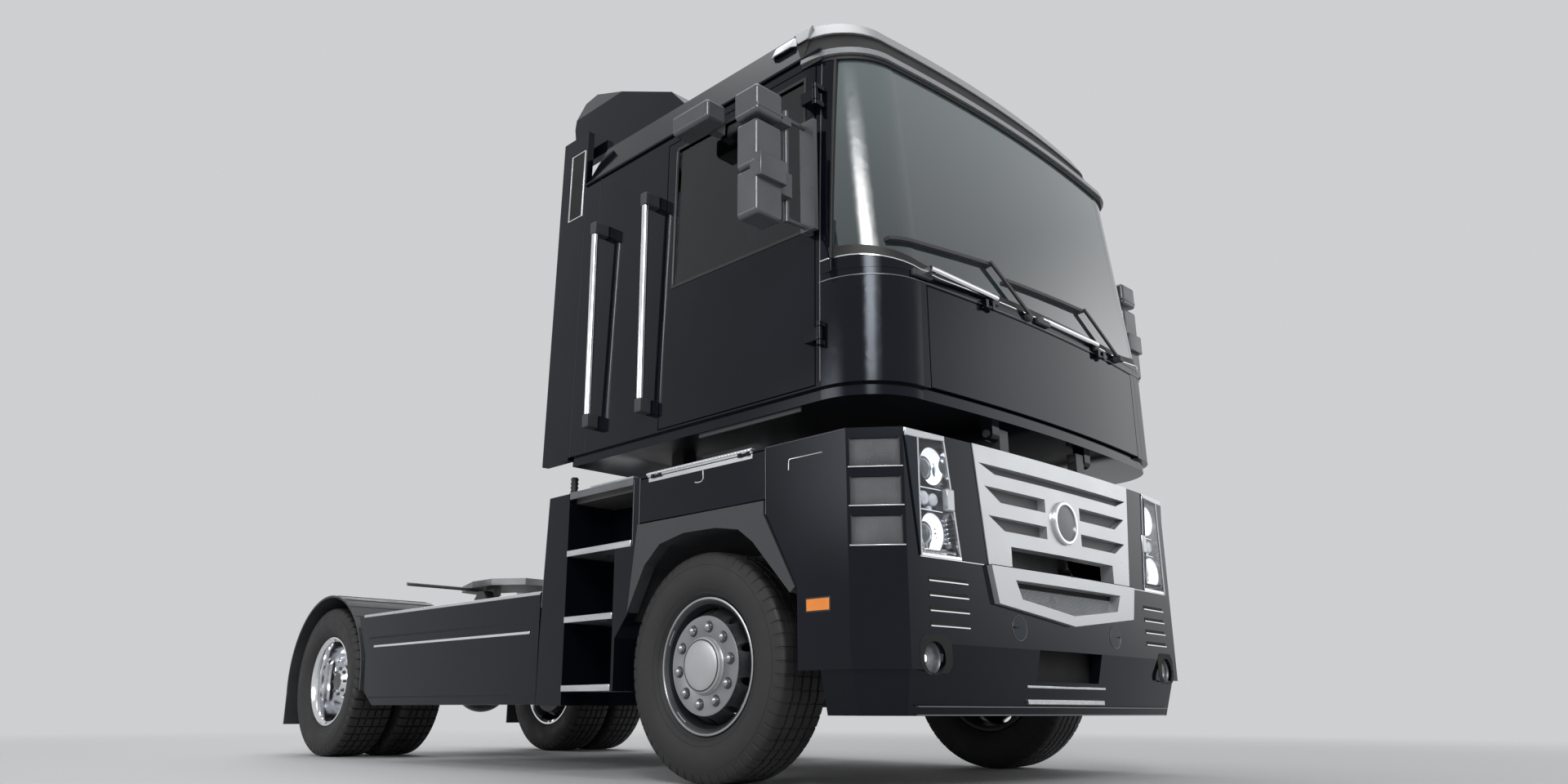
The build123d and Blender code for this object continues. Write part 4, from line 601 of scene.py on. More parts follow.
def build_tyres(name, body, x, y, lugs, deep):
    """A pair of tyres with a wavy lugged tread, four grooves and rings on their walls."""
    half, ridge, wave = 0.155, 0.0012, 0.0035
    wall, tread, shoulder = 0, 1, 2
    # a profile point is (distance along the axle, radius, where on the tyre it is)
    prof = [(-0.106, 0.2965, wall), (-0.125, 0.309, wall), (-0.141, 0.333, wall), (-0.1515, 0.364, wall),
            (-half, 0.396, wall), (-0.154, 0.424, wall), (-0.15, 0.446, wall), (-0.1485, 0.452, wall),
            (-0.144, 0.468, shoulder), (-0.138, 0.483, shoulder), (-0.129, 0.4925, tread),
            (-0.116, 0.4958, tread)]
    far_half = [(-a, r, part) for a, r, part in reversed(prof)]
    for g in (-0.074, -0.026, 0.026, 0.074):
        prof += [(g - 0.0065, 0.4976, tread), (g - 0.0045, 0.484, wall), (g + 0.0045, 0.484, wall),
                 (g + 0.0065, 0.4976, tread)]
    prof += far_half
    rings = []
    for k in range(lugs):
        for share, low in ((0.0, True), (0.13, True), (0.17, False), (0.96, False)):
            t = 2 * pi * (k + share) / lugs
            ring = []
            for a, r, part in prof:
                r -= deep if low and part == tread else 0.0
                cut = 0.004 if low and part == shoulder else 0.0
                shift = wave * sin(lugs / 2 * t) if abs(a) < 0.1 else 0.0
                across = x + a + shift - copysign(cut, a)
                ring.append((across, y + r * sin(t), AXLE_Z + r * cos(t)))
            rings.append(ring)
    hub = (x, y, AXLE_Z)
    p = Piece(name, "tyre_rubber", body).loft(rings, caps=False, loop=True, closed=False)
    for r in (0.3165, 0.34, 0.438):
        for (a0, ra, _), (a1, rb, _) in zip(prof[:7], prof[1:8]):
            if ra <= r <= rb:
                a = min(-(a0 + (a1 - a0) * (r - ra) / (rb - ra)), half - ridge)
        low, high = a - 0.002, a + ridge
        raised = ((low, r - 0.0025), (high, r - 0.0012), (high, r + 0.0012), (low, r + 0.0025))
        p.turned(hub, OUTWARD, raised, 96).turned(hub, (-1, 0, 0), raised, 96)
    p.turned(hub, OUTWARD, ((-0.106, 0.2965), (-0.1, 0.283), (0.1, 0.283), (0.106, 0.2965)), 96)
    return p.done(angle=40)


def build_front_wheels():
    body, hub = "front_wheel_{}", (WHEEL_X, A1, AXLE_Z)
    for tyre, (_, name) in zip(build_tyres("front_tread_{}", body, WHEEL_X, A1, 56, 0.004), SIDES):
        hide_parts(f"front_tyre_{name}")
    Piece("nut_ring_{}", "nut_disc", body).turned(hub, OUTWARD, (
        (0.118, 0.2145), (0.1262, 0.215), (0.128, 0.213), (0.128, 0.13), (0.1262, 0.1265),
        (0.125, 0.1265)), 96).done()
    Piece("hub_cover_{}", "hub_cap", body).turned(hub, OUTWARD, (
        (0.124, 0.1262), (0.13, 0.1255), (0.133, 0.1225), (0.145, 0.119), (0.15, 0.112),
        (0.1545, 0.09), (0.157, 0.05), (0.158, 0.0)), 96).done()
    Piece("rim_lip_{}", "rim_edge", body).turned(hub, OUTWARD, RIM_LIP, 128).done()
    weights = Piece("balance_weights_{}", "brushed", body)
    for first in (20, 205, 300):
        weights.loft([[(WHEEL_X + a, A1 + r * cos(t), AXLE_Z + r * sin(t))
                       for a, r in ((0.1, 0.272), (0.112, 0.276), (0.112, 0.284), (0.1, 0.281))]
                      for t in steps(radians(first), radians(first + 15), 6)])
    weights.done(bevel=0.001)
    # both wheels are the same one, turned round: their nuts aren't a mirrored pair
    for side, name in SIDES:
        nuts = Piece(f"nut_covers_{name}", "nut_cover", body.format(name))
        collars = Piece(f"nut_collars_{name}", "wheel_steel", body.format(name))
        for t in around(10, radians(99.4)):
            at = (side * WHEEL_X, A1 - side * NUT_CIRCLE * cos(t), AXLE_Z + NUT_CIRCLE * sin(t))
            nuts.turned(at, (side, 0, 0), (
                (0.126, 0.0205), (0.138, 0.02), (0.145, 0.0165), (0.1485, 0.0095), (0.1495, 0.0)), 24)
            collars.turned(at, (side, 0, 0), ((0.1275, 0.0265), (0.13, 0.0255), (0.13, 0.02)), 24)
        nuts.done()
        collars.done()


def build_rear_wheels():
    body, hub = "rear_wheels_{}", (WHEEL_X, A2, AXLE_Z)
    for tyre, (_, name) in zip(build_tyres("rear_tread_outer_{}", body, WHEEL_X, A2, 48, 0.012), SIDES):
        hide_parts(f"rear_tyres_{name}")
    build_tyres("rear_tread_inner_{}", body, WHEEL_X - TWIN, A2, 48, 0.012)
    Piece("dish_lip_{}", "bright_metal", body).turned(hub, OUTWARD, RIM_LIP, 128).done()
    Piece("dish_{}", "polished_rim", body).turned(hub, OUTWARD, (
        (0.105, 0.266), (0.07, 0.253), (-0.035, 0.2525), (-0.095, 0.25), (-0.13, 0.235),
        (-0.154, 0.215), (-0.159, 0.19), (-0.159, 0.131)), 128).done()
    nuts = Piece("twin_nuts_{}", "bright_metal", body)
    for t in around(10, radians(18)):
        at = (WHEEL_X, A2 + NUT_CIRCLE * cos(t), AXLE_Z + NUT_CIRCLE * sin(t))
        nuts.turned(at, OUTWARD, ((-0.16, 0.023), (-0.154, 0.0225), (-0.154, 0.0175), (-0.124, 0.017),
                                  (-0.121, 0.014), (-0.121, 0.0)), 6)
    nuts.done(angle=25)
    face = Piece("hub_face_{}", "cast_metal", body)
    face.turned(hub, OUTWARD, ((0.0601, 0.0), (0.0606, 0.052), (0.0606, 0.058), (0.059, 0.0605)), 48)
    for t in around(8):
        at = (WHEEL_X, A2 + 0.086 * cos(t), AXLE_Z + 0.086 * sin(t))
        face.turned(at, OUTWARD, ((0.03, 0.0095), (0.056, 0.0095), (0.058, 0.007), (0.058, 0.0)), 6)
    face.done(angle=25)


# ---------------- headlights and fog lamps
LAMP_PARTS = (
    # name, look, segments, profile
    ("bowl", "lamp_white", 64, ((-0.064, 0.048), (-0.06, 0.0525), (-0.03, 0.07), (-0.02, 0.0755),
                                (-0.018, 0.0765), (-0.02, 0.0775), (-0.066, 0.0775))),
    ("edge", "silver_dark", 64, ((-0.064, 0.078), (-0.016, 0.078), (-0.014, 0.0795), (-0.016, 0.0815),
                                 (-0.064, 0.082))),
    ("ring", "bright_metal", 64, ((-0.066, 0.046), (-0.056, 0.047), (-0.053, 0.049), (-0.055, 0.0515),
                                  (-0.066, 0.052))),
    ("projector", "dark_gloss", 48, ((-0.066, 0.0), (-0.066, 0.0455), (-0.056, 0.044), (-0.046, 0.033),
                                     (-0.041, 0.018), (-0.0395, 0.0))),
)
FOG_X, FOG_Z = 0.97, 0.505
FOG_CORNERS = ((0.868, 0.48), (0.895, 0.449), (1.03, 0.449), (1.056, 0.48), (1.056, 0.56), (1.03, 0.591),
               (0.895, 0.591), (0.868, 0.56))


def build_headlight_shells():
    glass = Piece("headlight_glass_{}", "lamp_lens").lamp_sheet(-0.004, 0.002, (0.905, 1.385))
    right, _ = glass.done(solid=0.004)
    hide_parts("front_lamps")
    Piece("headlight_back_{}", "silver_dark").lamp_sheet(0.085, 0.004, LAMP_Z).done(solid=0.004)
    bezel = Piece("headlight_bezel_{}", "reflector")
    for z in ((0.892, 0.908), (1.382, 1.398)):
        inner, outer = lamp_edges(sum(z) / 2)
        bezel.bowed((inner + 0.002, outer - 0.002), z, (-0.08, 0.006))
    for edge, way in ((0, 1), (1, -1)):
        rings = []
        for z in steps(*LAMP_Z, 8):
            near, far = (lamp_edges(z)[edge] + way * d for d in (0.002, 0.012))
            rings.append([(x, module_y(x, out), z)
                          for x, out in ((near, -0.08), (far, -0.08), (far, 0.004), (near, 0.004))])
        bezel.loft(rings)
    bezel.done(bevel=0.0015)
    rings = []
    for x, dz in ((0.862, 0.01), (0.92, 0.006), (0.98, 0.002), (1.04, 0.0), (1.098, 0.0)):
        rings.append([(x, module_y(x, out), z) for out, z in
                      ((-0.006, 1.364 + dz), (0.0085, 1.366 + dz), (0.0085, 1.3975), (-0.006, 1.3975))])
    Piece("headlight_cap_{}", "silver_trim").loft(rings).done(bevel=0.003)
    rings = []
    for z in steps(LAMP_Z[0], 1.366, 8):
        edge = lamp_edges(z)[1] - 0.001
        start = min(1.032, edge - 0.003)
        rings.append([(x, module_y(x, out), z)
                      for x, out in ((start, -0.006), (start, 0.0075), (edge, 0.0075), (edge, -0.006))])
    Piece("headlight_cheek_{}", "lower_paint").loft(rings).done(bevel=0.002)
    Piece("headlight_line_{}", "silver_trim").tube(
        [(x, module_y(x, 0.006), z) for x, z in ((1.031, 0.893), (1.027, 1.366))], 0.004, 10).done()


def build_headlight_insides():
    for tag, x, z in (("high", 0.922, 1.266), ("low", 0.935, 0.995)):
        for part, mat, seg, profile in LAMP_PARTS:
            Piece(f"lamp_{part}_{tag}_{{}}", mat).turned((x, module_y(x), z), FORWARD, profile, seg).done()
    turn = Piece("lamp_turn_{}", "white_lens")
    for x, z, r in ((0.905, 1.132, 0.027), (0.962, 1.134, 0.03), (0.93, 1.092, 0.012)):
        turn.turned((x, module_y(x), z), FORWARD,
                    ((-0.07, r * 0.8), (-0.03, r), (-0.024, r * 0.85), (-0.02, 0.0)), 32)
    turn.done()
    shelves = Piece("lamp_shelves_{}", "reflector")
    for z in (1.17, 1.08):
        shelves.bowed((0.868, 1.024), (z, z + 0.005), (-0.07, -0.014), n=4)
    shelves.done(bevel=0.001)
    Piece("lamp_washer_{}", "silver_trim").bowed(
        (0.812, 0.862), (1.088, 1.18), (-0.02, 0.007), n=3).done(bevel=0.006)
    flutes = Piece("lamp_flutes_{}", "reflector")
    for z in steps(0.922, 1.0515, 7):
        start = lamp_edges(z)[0] + 0.016
        flutes.bowed((start, start + 0.064), (z, z + 0.008), (-0.06, -0.044), n=2)
    for x in steps(0.866, 0.842, 3):
        flutes.bowed((x, x + 0.003), (1.2, 1.325), (-0.06, -0.044), n=1)
    flutes.done(bevel=0.001)


def fog_reach(dx, dz):
    """How far the fog lamp's eight-sided recess reaches from its middle in a direction."""
    reach = 1.0
    for (xa, za), (xb, zb) in zip(FOG_CORNERS, FOG_CORNERS[1:] + FOG_CORNERS[:1]):
        det = dx * (za - zb) - dz * (xa - xb)
        run = ((xa - FOG_X) * (za - zb) - (za - FOG_Z) * (xa - xb)) / det if abs(det) > 1e-9 else 0.0
        if run > 0:
            reach = min(reach, run)
    return reach


def build_fog_lamps():
    rings = []
    for t in steps(0.0, 2 * pi, 64):
        dx, dz = cos(t), sin(t)
        reach = fog_reach(dx, dz)
        rings.append([(FOG_X + r * dx, module_y(FOG_X + r * dx, out), FOG_Z + r * dz)
                      for r, out in ((0.063, -0.002), (0.063, 0.0012), (reach, 0.0012), (reach, -0.002))])
    # a near-black ring, flush with the face, paints the shade of the eight-sided recess round the fog lamp
    Piece("fog_recess_shade_{}", "painted_shade_black").loft(rings).done()
    fog = (FOG_X, A1 - 1.046, FOG_Z)
    Piece("fog_pod_{}", "silver_dark").turned(fog, FORWARD, (
        (-0.06, 0.02), (-0.052, 0.04), (-0.014, 0.056), (-0.006, 0.0615), (-0.06, 0.0615)), 48).done()
    Piece("fog_lens_{}", "lamp_lens").turned(fog, FORWARD, (
        (-0.018, 0.0), (-0.018, 0.056), (-0.012, 0.056), (-0.004, 0.036), (-0.001, 0.0)), 48).done()
    Piece("fog_bulb_{}", "lit_bulb").turned(
        fog, FORWARD, ((-0.05, 0.016), (-0.036, 0.014), (-0.03, 0.0)), 24).done()


# ---------------- front of the module
INTAKE_W, INTAKE_H = 0.2, 0.115
TOW_X, TOW_Z, TOW_R = 0.41, 0.645, 0.052


def wire_net(name, corner, u, wide, high, pitch, wire, mat="mesh_wire"):
    """Crossed wires in an upright rectangle: corner is its low start, u its direction."""
    climb = 0.62                # how far a wire rises for each metre along u
    reach = high / climb
    p = Piece(name, mat)
    u, v, corner = Vector(u), Vector(UP), Vector(corner)
    n = u.cross(v)
    for slope, start in ((1, -reach), (-1, 0.0)):
        for k in range(int((wide + reach) / pitch) + 1):
            c = start + k * pitch
            first, last = (-c, wide - c) if slope > 0 else (c - wide, c)
            first, last = max(0.0, first), min(last, reach)
            if last <= first + 1e-4:
                continue
            pa, pb = (corner + u * (c + slope * t) + v * (climb * t) for t in (first, last))
            edge = (pb - pa).normalized().cross(n) * wire
            p.add(1, [pa + edge, pa - edge, pb - edge, pb + edge, pa + n * wire, pb + n * wire],
                  [(0, 4, 5, 3), (4, 1, 2, 5), (0, 3, 2, 1)])
    p.done(angle=60)


def build_intakes():
    """Three openings with mesh in each slanted corner."""
    for side, name in SIDES:
        back = Vector((side * HALF, FRONT + CORNER_DEEP, 0))
        front = Vector((side * CORNER_X, FRONT, 0))
        run = (front - back).normalized()
        out = Vector((-run.y * side, run.x * side, 0))

        def spot(along, off, z):
            return (back + front) / 2 + run * along + out * off + Vector((0, 0, z))

        lips = Piece(f"intake_lips_{name}", "bright_metal")
        walls = Piece(f"intake_frames_{name}", "black_rubber")
        for i, centre in enumerate((1.298, 1.142, 0.986)):
            low, top, edge = centre - INTAKE_H / 2, centre + INTAKE_H / 2, INTAKE_W / 2
            wire_net(f"intake_mesh_{i}_{name}", spot(0.001 - edge, -0.01, low + 0.001), run, INTAKE_W - 0.002,
                     INTAKE_H - 0.002, 0.008, 0.0012)
            lips.loft([[spot(along, off, low + dz) for off, dz in
                        ((0.001, -0.005), (0.008, -0.004), (0.008, 0.001), (0.001, 0.002))]
                       for along in (-edge - 0.006, edge + 0.01)])
            for start in (-edge, edge - 0.004):
                walls.loft([[spot(along, off, z) for off, z in
                             ((0.001, low), (-0.02, low), (-0.02, top), (0.001, top))]
                            for along in (start, start + 0.004)])
        lips.done(bevel=0.0012)
        walls.done()


def build_louvres():
    lines = Piece("louvre_lips_{}", "bright_metal")
    # near-black strips, flush with the face, paint the shade in the louvre slots
    slots = Piece("louvre_slot_shade_{}", "painted_shade_black")
    for z in (0.8, 0.742, 0.684, 0.626):
        lines.bowed((0.752, 0.99), (z - 0.0035, z + 0.0025), (-0.004, 0.006))
        slots.bowed((0.756, 0.986), (z + 0.003, z + 0.017), (-0.004, 0.0012))
    lines.done(bevel=0.001)
    slots.done()
    Piece("bumper_seam_{}", "bright_metal").bowed(
        (0.64, 1.035), (0.8875, 0.8915), (-0.004, 0.0055)).done(bevel=0.001)


def build_bumper_middle():
    """Step plates, lower lips and a near-black beam behind the centre opening that paints the shade there."""
    plates = Piece("bumper_steps", "brushed")
    plates.box((-0.33, 0.33), (A1 - 1.062, A1 - 0.99), (0.403, 0.414))
    plates.box((-0.322, 0.322), (A1 - 1.056, A1 - 0.99), (0.336, 0.356))
    plates.done(bevel=0.002)
    lips = Piece("valance_lips", "silver_dark")
    lips.bowed((-1.03, 1.03), (0.322, 0.327), (-0.056, -0.038), n=24)
    lips.bowed((-1.02, 1.02), (0.29, 0.296), (-0.068, -0.052), n=24)
    lips.done(bevel=0.001)
    # near-black: paints the shade behind the centre opening
    Piece("bumper_beam_shade", "painted_shade_black").box((-0.35, 0.35), (A1 - 1.01, A1 - 0.99), (0.414, 0.7)).done()


def build_tow_covers():
    """Covers over the two towing eyes, below the bezel, each with a thin grey ring that paints the glints on
    its rim.
    """
    rings, loop = [], []
    for t in steps(0.0, 2 * pi, 48):
        dx, dz = cos(t), sin(t)
        rings.append([(TOW_X + r * dx, module_y(TOW_X + r * dx, out), TOW_Z + r * dz) for r, out in
                      ((0.002, -0.002), (0.002, 0.002), (TOW_R - 0.003, 0.002), (TOW_R, -0.002))])
        loop.append((TOW_X + TOW_R * dx, module_y(TOW_X + TOW_R * dx, 0.0005), TOW_Z + TOW_R * dz))
    Piece("tow_cover_{}", "lower_paint").loft(rings).done()
    # a thin grey ring paints the glints on the cover's rim
    Piece("tow_cover_glint_{}", "silver_dark").tube(loop, 0.0022, 8).done()


def build_grille():
    """Bezel mesh over a near-black plate that paints the shade behind it, badge disc, dark floors of the
    grille's recesses that paint their shade, a near-black seam line that paints the shade of the gap, and
    radiator.
    """
    wire_net("bezel_mesh", (-0.448, A1 - 1.066, 0.712), OUTWARD, 0.896, 0.104, 0.015, 0.0017, "silver_trim")
    # a near-black plate behind the bezel mesh paints the shade behind it
    Piece("bezel_shade_plate", "painted_shade_black").prism(
        ((-0.449, 0.839), (-0.409, 0.763), (0.0, 0.717), (0.409, 0.763), (0.449, 0.839)), "y",
        (A1 - 1.0625, A1 - 1.059)).done()
    badge = (0, module_y(0, 0.015), 1.135)
    Piece("badge_boss", "bright_metal").turned(badge, FORWARD, (
        (-0.004, 0.099), (0.003, 0.099), (0.0075, 0.095), (0.0085, 0.088), (0.0075, 0.084),
        (0.0, 0.082)), 64).done()
    Piece("badge_disc", "silver_dark").turned(
        badge, FORWARD, ((-0.001, 0.083), (0.0015, 0.082), (0.004, 0.06), (0.0052, 0.0)), 64).done()
    # dark plates on the recess floors paint the shade in the grille's recesses
    floors = Piece("recess_shade_floors", "painted_recess_shade")
    for low, top, inner, outer in ((1.286, 1.322, 0.0, 0.526), (1.167, 1.226, 0.15, 0.493),
                                   (1.047, 1.102, 0.15, 0.476)):
        for side, _ in SIDES:
            outline = ((inner, low), (outer, low), (outer + 0.104, top), (inner, top))
            floors.prism([(side * x, z) for x, z in outline], "y", (A1 - 1.06, A1 - 1.0565))
    floors.done()
    # a near-black strip paints the shade in the gap between the grille and the bezel
    Piece("grille_seam_shade", "painted_shade_black").bowed((-0.612, 0.612), (0.8865, 0.8935), (-0.004, 0.0249), n=16).done()
    core = Piece("radiator_core", "radiator_metal")
    for k in range(44):
        z = 0.74 + 0.0135 * k
        core.box((-0.32, 0.32), (A1 - 0.866, A1 - 0.861), (z, z + 0.006))
    core.done()


# ---------------- cab
WINDOW = ((-0.64, 2.345), (0.235, 2.345), (0.225, 3.095), (-0.65, 3.095))
DEFLECTOR_SLOT = ((1.085, 3.03), (1.205, 3.03), (1.205, 3.44), (1.085, 3.44))
BANDS = (
    # name, look, low and high z, from and to out of the face, back to (from A1), rise of both edges, bevel
    ("screen_frit_low", "black_rubber", (2.106, 2.15), (-0.014, -0.0055), -0.802, (0.0, 0.065), 0.0),
    ("screen_foot", "body_paint", (2.1, 2.112), (-0.01, 0.0015), -0.802, (0.0, 0.05), 0.0),
    ("screen_seal_low", "bright_metal", (2.1085, 2.1135), (-0.004, 0.004), -0.802, (0.05, 0.05), 0.0),
    ("screen_seal_top", "black_rubber", (3.158, 3.175), (-0.006, 0.003), -0.76, (0.0, 0.0), 0.0),
    # the brow and visor bands take a light grey that paints their highlight
    ("brow_band", "painted_highlight_grey", (3.18, 3.215), (-0.004, 0.015), -0.64, (0.0, 0.0), 0.004),
    # a near-black band, almost flush with the face, paints the shade of the recess between the brow and the
    # visor
    ("brow_recess", "painted_shade_black", (3.215, 3.355), (-0.004, 0.001), -0.64, (0.0, 0.0), 0.0),
    ("visor_band", "painted_highlight_grey", (3.35, 3.438), (-0.004, 0.014), -0.64, (0.0, 0.0), 0.005),
    ("waist_line", "silver_dark", (2.0655, 2.0695), (-0.004, 0.0025), -0.74, (0.0, 0.0), 0.0),
)


def build_bands():
    """Strips round the cab's front."""
    for name, mat, (low, high), (deep, out), rear, (foot, top), bevel in BANDS:
        paths = [lifted(front_path(z, o, rear), rise) for z, o, rise in
                 ((low, deep, foot), (low, out, foot), (high, out, top), (high, deep, top))]
        Piece(name, mat, "cab").loft(list(zip(*paths))).done(bevel=bevel)


def build_doors_and_handles():
    Piece("window_seal_{}", "black_rubber", "door_{}").side_frame(
        WINDOW, 0.016, -0.01, 0.0035).done(bevel=0.0015)
    Piece("window_trim_{}", "silver_dark", "door_{}").side_bar(
        (0.234, 0.24), (2.35, 3.09), (0.001, 0.006)).done()
    for i, (place, low, top) in enumerate(((0.392, 1.718, 2.871), (0.826, 1.724, 2.854))):
        ends = Piece(f"handle_ends_{i}_{{}}", "arch_plastic", "cab")
        for z0, z1 in ((low - 0.012, low + 0.06), (top - 0.06, top + 0.012)):
            ends.box((wall_x(z0) - 0.002, 1.319), (A1 + place - 0.024, A1 + place + 0.024), (z0, z1))
        ends.done(bevel=0.008, segments=3)
        Piece(f"handle_strip_{i}_{{}}", "bright_metal", "cab").tube(
            [(1.3, A1 + place, z) for z in (low + 0.06, top - 0.06)], 0.0185, 24).done()


def build_cab_sides():
    Piece("drip_rail_{}", "body_paint", "cab").loft([
        [(wall_x(DRIP_Z) + out, A1 + y, z + dz)
         for out, dz in ((-0.004, 0.0), (0.012, -0.004), (0.014, 0.008), (-0.004, 0.016))]
        for y, z in ((-0.76, 3.208), (1.055, 3.2))]).done(bevel=0.002)
    Piece("roof_marker_{}", "white_lens", "cab").loft([
        [(x - inset, A1 + y, z) for x, z in ((1.172, 3.352), (1.188, 3.347), (1.163, 3.405), (1.146, 3.411))]
        for y, inset in ((-0.56, 0.016), (-0.535, 0.0), (-0.425, 0.0), (-0.4, 0.01))]).done(bevel=0.003)
    Piece("deflector_slot_trim_{}", "bright_metal", "cab").side_frame(
        DEFLECTOR_SLOT, 0.006, -0.004, 0.004).done(bevel=0.001)
    # near-black: paints the shade inside the deflector slot
    Piece("deflector_slot_{}", "painted_shade_black", "cab").side_bar((1.088, 1.202), (3.034, 3.436), (-0.003, 0.001)).done()
    seams = Piece("rear_seams_{}", "black_rubber", "cab")
    for y in (1.042, 0.905):
        seams.side_bar((y, y + 0.004), (1.605, 3.195), (-0.004, 0.0008))
    seams.done()
    Piece("screen_edge_{}", "black_rubber", "cab").side_bar(
        (-0.806, -0.796), (2.104, 3.17), (-0.012, 0.003)).done(bevel=0.002)
    Piece("pillar_line_{}", "silver_dark", "cab").side_bar(
        (-0.748, -0.744), (1.625, 3.15), (-0.002, 0.0025)).done()


def build_rails_and_pivots():
    """Grab rails below the windscreen and the wipers' pivots."""
    brackets = Piece("rail_brackets", "arch_plastic", "cab")
    for x in ((-1.0, -0.885), (-0.47, -0.42), (-0.11, 0.0), (0.45, 0.495)):
        brackets.bowed(x, (2.08, 2.112), (-0.002, 0.02), face=cab_front_y, n=4)
    brackets.done(bevel=0.006, segments=3)
    for i, ends in enumerate(((-0.9, -0.45), (-0.02, 0.46))):
        bar = [(x, A1 - 1.103, 2.112) for x in ends]
        Piece(f"rail_bar_{i}", "bright_metal", "cab").tube(bar, 0.0135, 20).done()
    for i, (x, z) in enumerate(((-0.175, 2.095), (0.715, 2.099))):
        Piece(f"wiper_pivot_{i}", "arch_plastic", "cab").turned(
            (x, cab_front_y(x), z), FORWARD,
            ((-0.002, 0.024), (0.016, 0.022), (0.0235, 0.014), (0.0245, 0.0)), 32).done()


def build_mirrors():
    for tag, z0, z1, rear in (("low", 2.25, 2.465, A1 - 0.664), ("main", 2.47, 2.685, A1 - 0.664),
                              ("wide", 2.71, 2.845, A1 - 0.649)):
        Piece(f"mirror_face_{tag}_{{}}", "mirror_glass", "door_{}").prism(
            rounded((1.506, 1.634), (z0 + 0.014, z1 - 0.014), 0.012), "y",
            (rear - 0.006, rear - 0.0003)).done(bevel=0.0012)
        Piece(f"mirror_rim_{tag}_{{}}", "black_rubber", "door_{}").prism(
            rounded((1.493, 1.647), (z0 + 0.001, z1 - 0.001), 0.02), "y",
            (rear - 0.012, rear - 0.0025)).done(bevel=0.003)
    for tag, z, front in (("band", (2.412, 2.518), A1 - 0.794), ("brow", (2.735, 2.752), A1 - 0.779)):
        outline = ((1.4875, 0.014), (1.4905, -0.001), (1.499, -0.0035), (1.632, -0.0035), (1.642, -0.001),
                   (1.6485, 0.012), (1.6485, 0.06), (1.4875, 0.06))
        Piece(f"mirror_{tag}_{{}}", "mirror_shell", "door_{}").prism(
            [(x, front + y) for x, y in outline], "z", z).done(bevel=0.003)


# ---------------- lower sides
def build_lockers():
    rail_y = (A1 - 0.347, A1 + 0.367)
    strip = Piece("locker_strip_{}", "bright_metal")
    strip.box((HALF + 0.0005, HALF + 0.0165), rail_y, (1.3935, 1.403))
    strip.box((1.205, HALF + 0.01), rail_y, (1.4005, 1.4075))
    for k in range(34):
        y = A1 - 0.337 + 0.021 * k
        strip.box((HALF + 0.012, HALF + 0.019), (y, y + 0.01), (1.3945, 1.402))
    strip.done(bevel=0.0008)
    Piece("locker_band_{}", "silver_trim", "locker_lid_{}").box(
        (HALF - 0.0005, HALF + 0.006), (A1 - 0.347, A1 + 0.362), (1.361, 1.3825)).done(bevel=0.0015)
    Piece("locker_cap_{}", "silver_trim").box(
        (HALF - 0.0005, HALF + 0.01), rail_y, (1.385, 1.3955)).done(bevel=0.001)
    pull = ((-0.024, 1.362), (-0.026, 1.322), (-0.016, 1.311), (0.01, 1.309), (0.03, 1.313))
    Piece("locker_pull_{}", "bright_metal", "locker_lid_{}").tube(
        [(HALF + 0.0012, A1 + y, z) for y, z in pull], 0.0028, 10).done()
    recess = ((-0.56, 1.276), (-0.562, 1.318), (-0.57, 1.322), (-0.752, 1.322))
    Piece("locker_recess_{}", "bright_metal").tube(
        [(HALF + 0.0005, A1 + y, z) for y, z in recess], 0.0022, 8).done()


def build_side_trim():
    Piece("side_marker_{}", "amber").box(
        (HALF - 0.0015, HALF + 0.003), (A1 - 0.773, A1 - 0.652), (0.688, 0.735)).done(bevel=0.003)
    Piece("side_marker_base_{}", "black_rubber").box(
        (HALF - 0.003, HALF + 0.0012), (A1 - 0.779, A1 - 0.646), (0.682, 0.741)).done(bevel=0.001)
    # thin grey tubes along the panel edges paint the highlight on their rounded edges
    edges = Piece("panel_edge_highlights_{}", "silver_dark")
    for path in (((-0.425, 1.106), (-0.425, 1.394)), ((-0.43, 1.3955), (-0.87, 1.3955)),
                 ((0.48, 1.073), (0.48, 1.392)), ((0.433, 1.163), (0.433, 1.392))):
        edges.tube([(HALF + 0.0008, A1 + y, z) for y, z in path], 0.0016, 8)
    edges.done()
    Piece("sill_plate_{}", "arch_plastic", "cab").box(
        (1.206, 1.215), (A1 - 0.6, A1 + 0.05), (1.53, 1.606)).done(bevel=0.003)
    # a thin grey tube paints the highlight on the step column's front edge
    Piece("column_edge_highlight_{}", "silver_dark").tube(
        [(HALF + 0.0005, A1 + 1.205, 1.394), (HALF + 0.0005, A1 + 1.236, 0.825)], 0.002, 8).done()
    folds = range(13)
    Piece("bellows_{}", "black_rubber").tube(
        [(1.15, A1 + 1.13, 1.385 + 0.011 * k) for k in folds],
        [0.022 if k % 2 else 0.017 for k in folds], 16).done(angle=80)


def build_steps():
    Piece("step_bar_{}", "silver_dark").box(
        (HALF - 0.014, HALF), (A1 + 0.492, A1 + 1.03), (1.368, 1.406)).done(bevel=0.002)
    for i, (top, front) in enumerate(((0.426, 0.62), (0.762, 0.62), (1.098, 0.489))):
        Piece(f"step_lip_{i}_{{}}", "brushed").box(
            (HALF - 0.02, HALF + 0.006), (A1 + front + 0.002, A1 + 1.02),
            (top - 0.03, top + 0.0015)).done(bevel=0.003)
        studs = Piece(f"step_studs_{i}_{{}}", "brushed")
        for a in range(9):
            for b in range(int((1.0 - front) / 0.034)):
                at = (0.975 + 0.029 * a, A1 + front + 0.03 + 0.034 * b, top)
                studs.turned(at, UP, ((-0.001, 0.0085), (0.0025, 0.0065), (0.0025, 0.0035), (0.0, 0.003)), 8)
        studs.done()


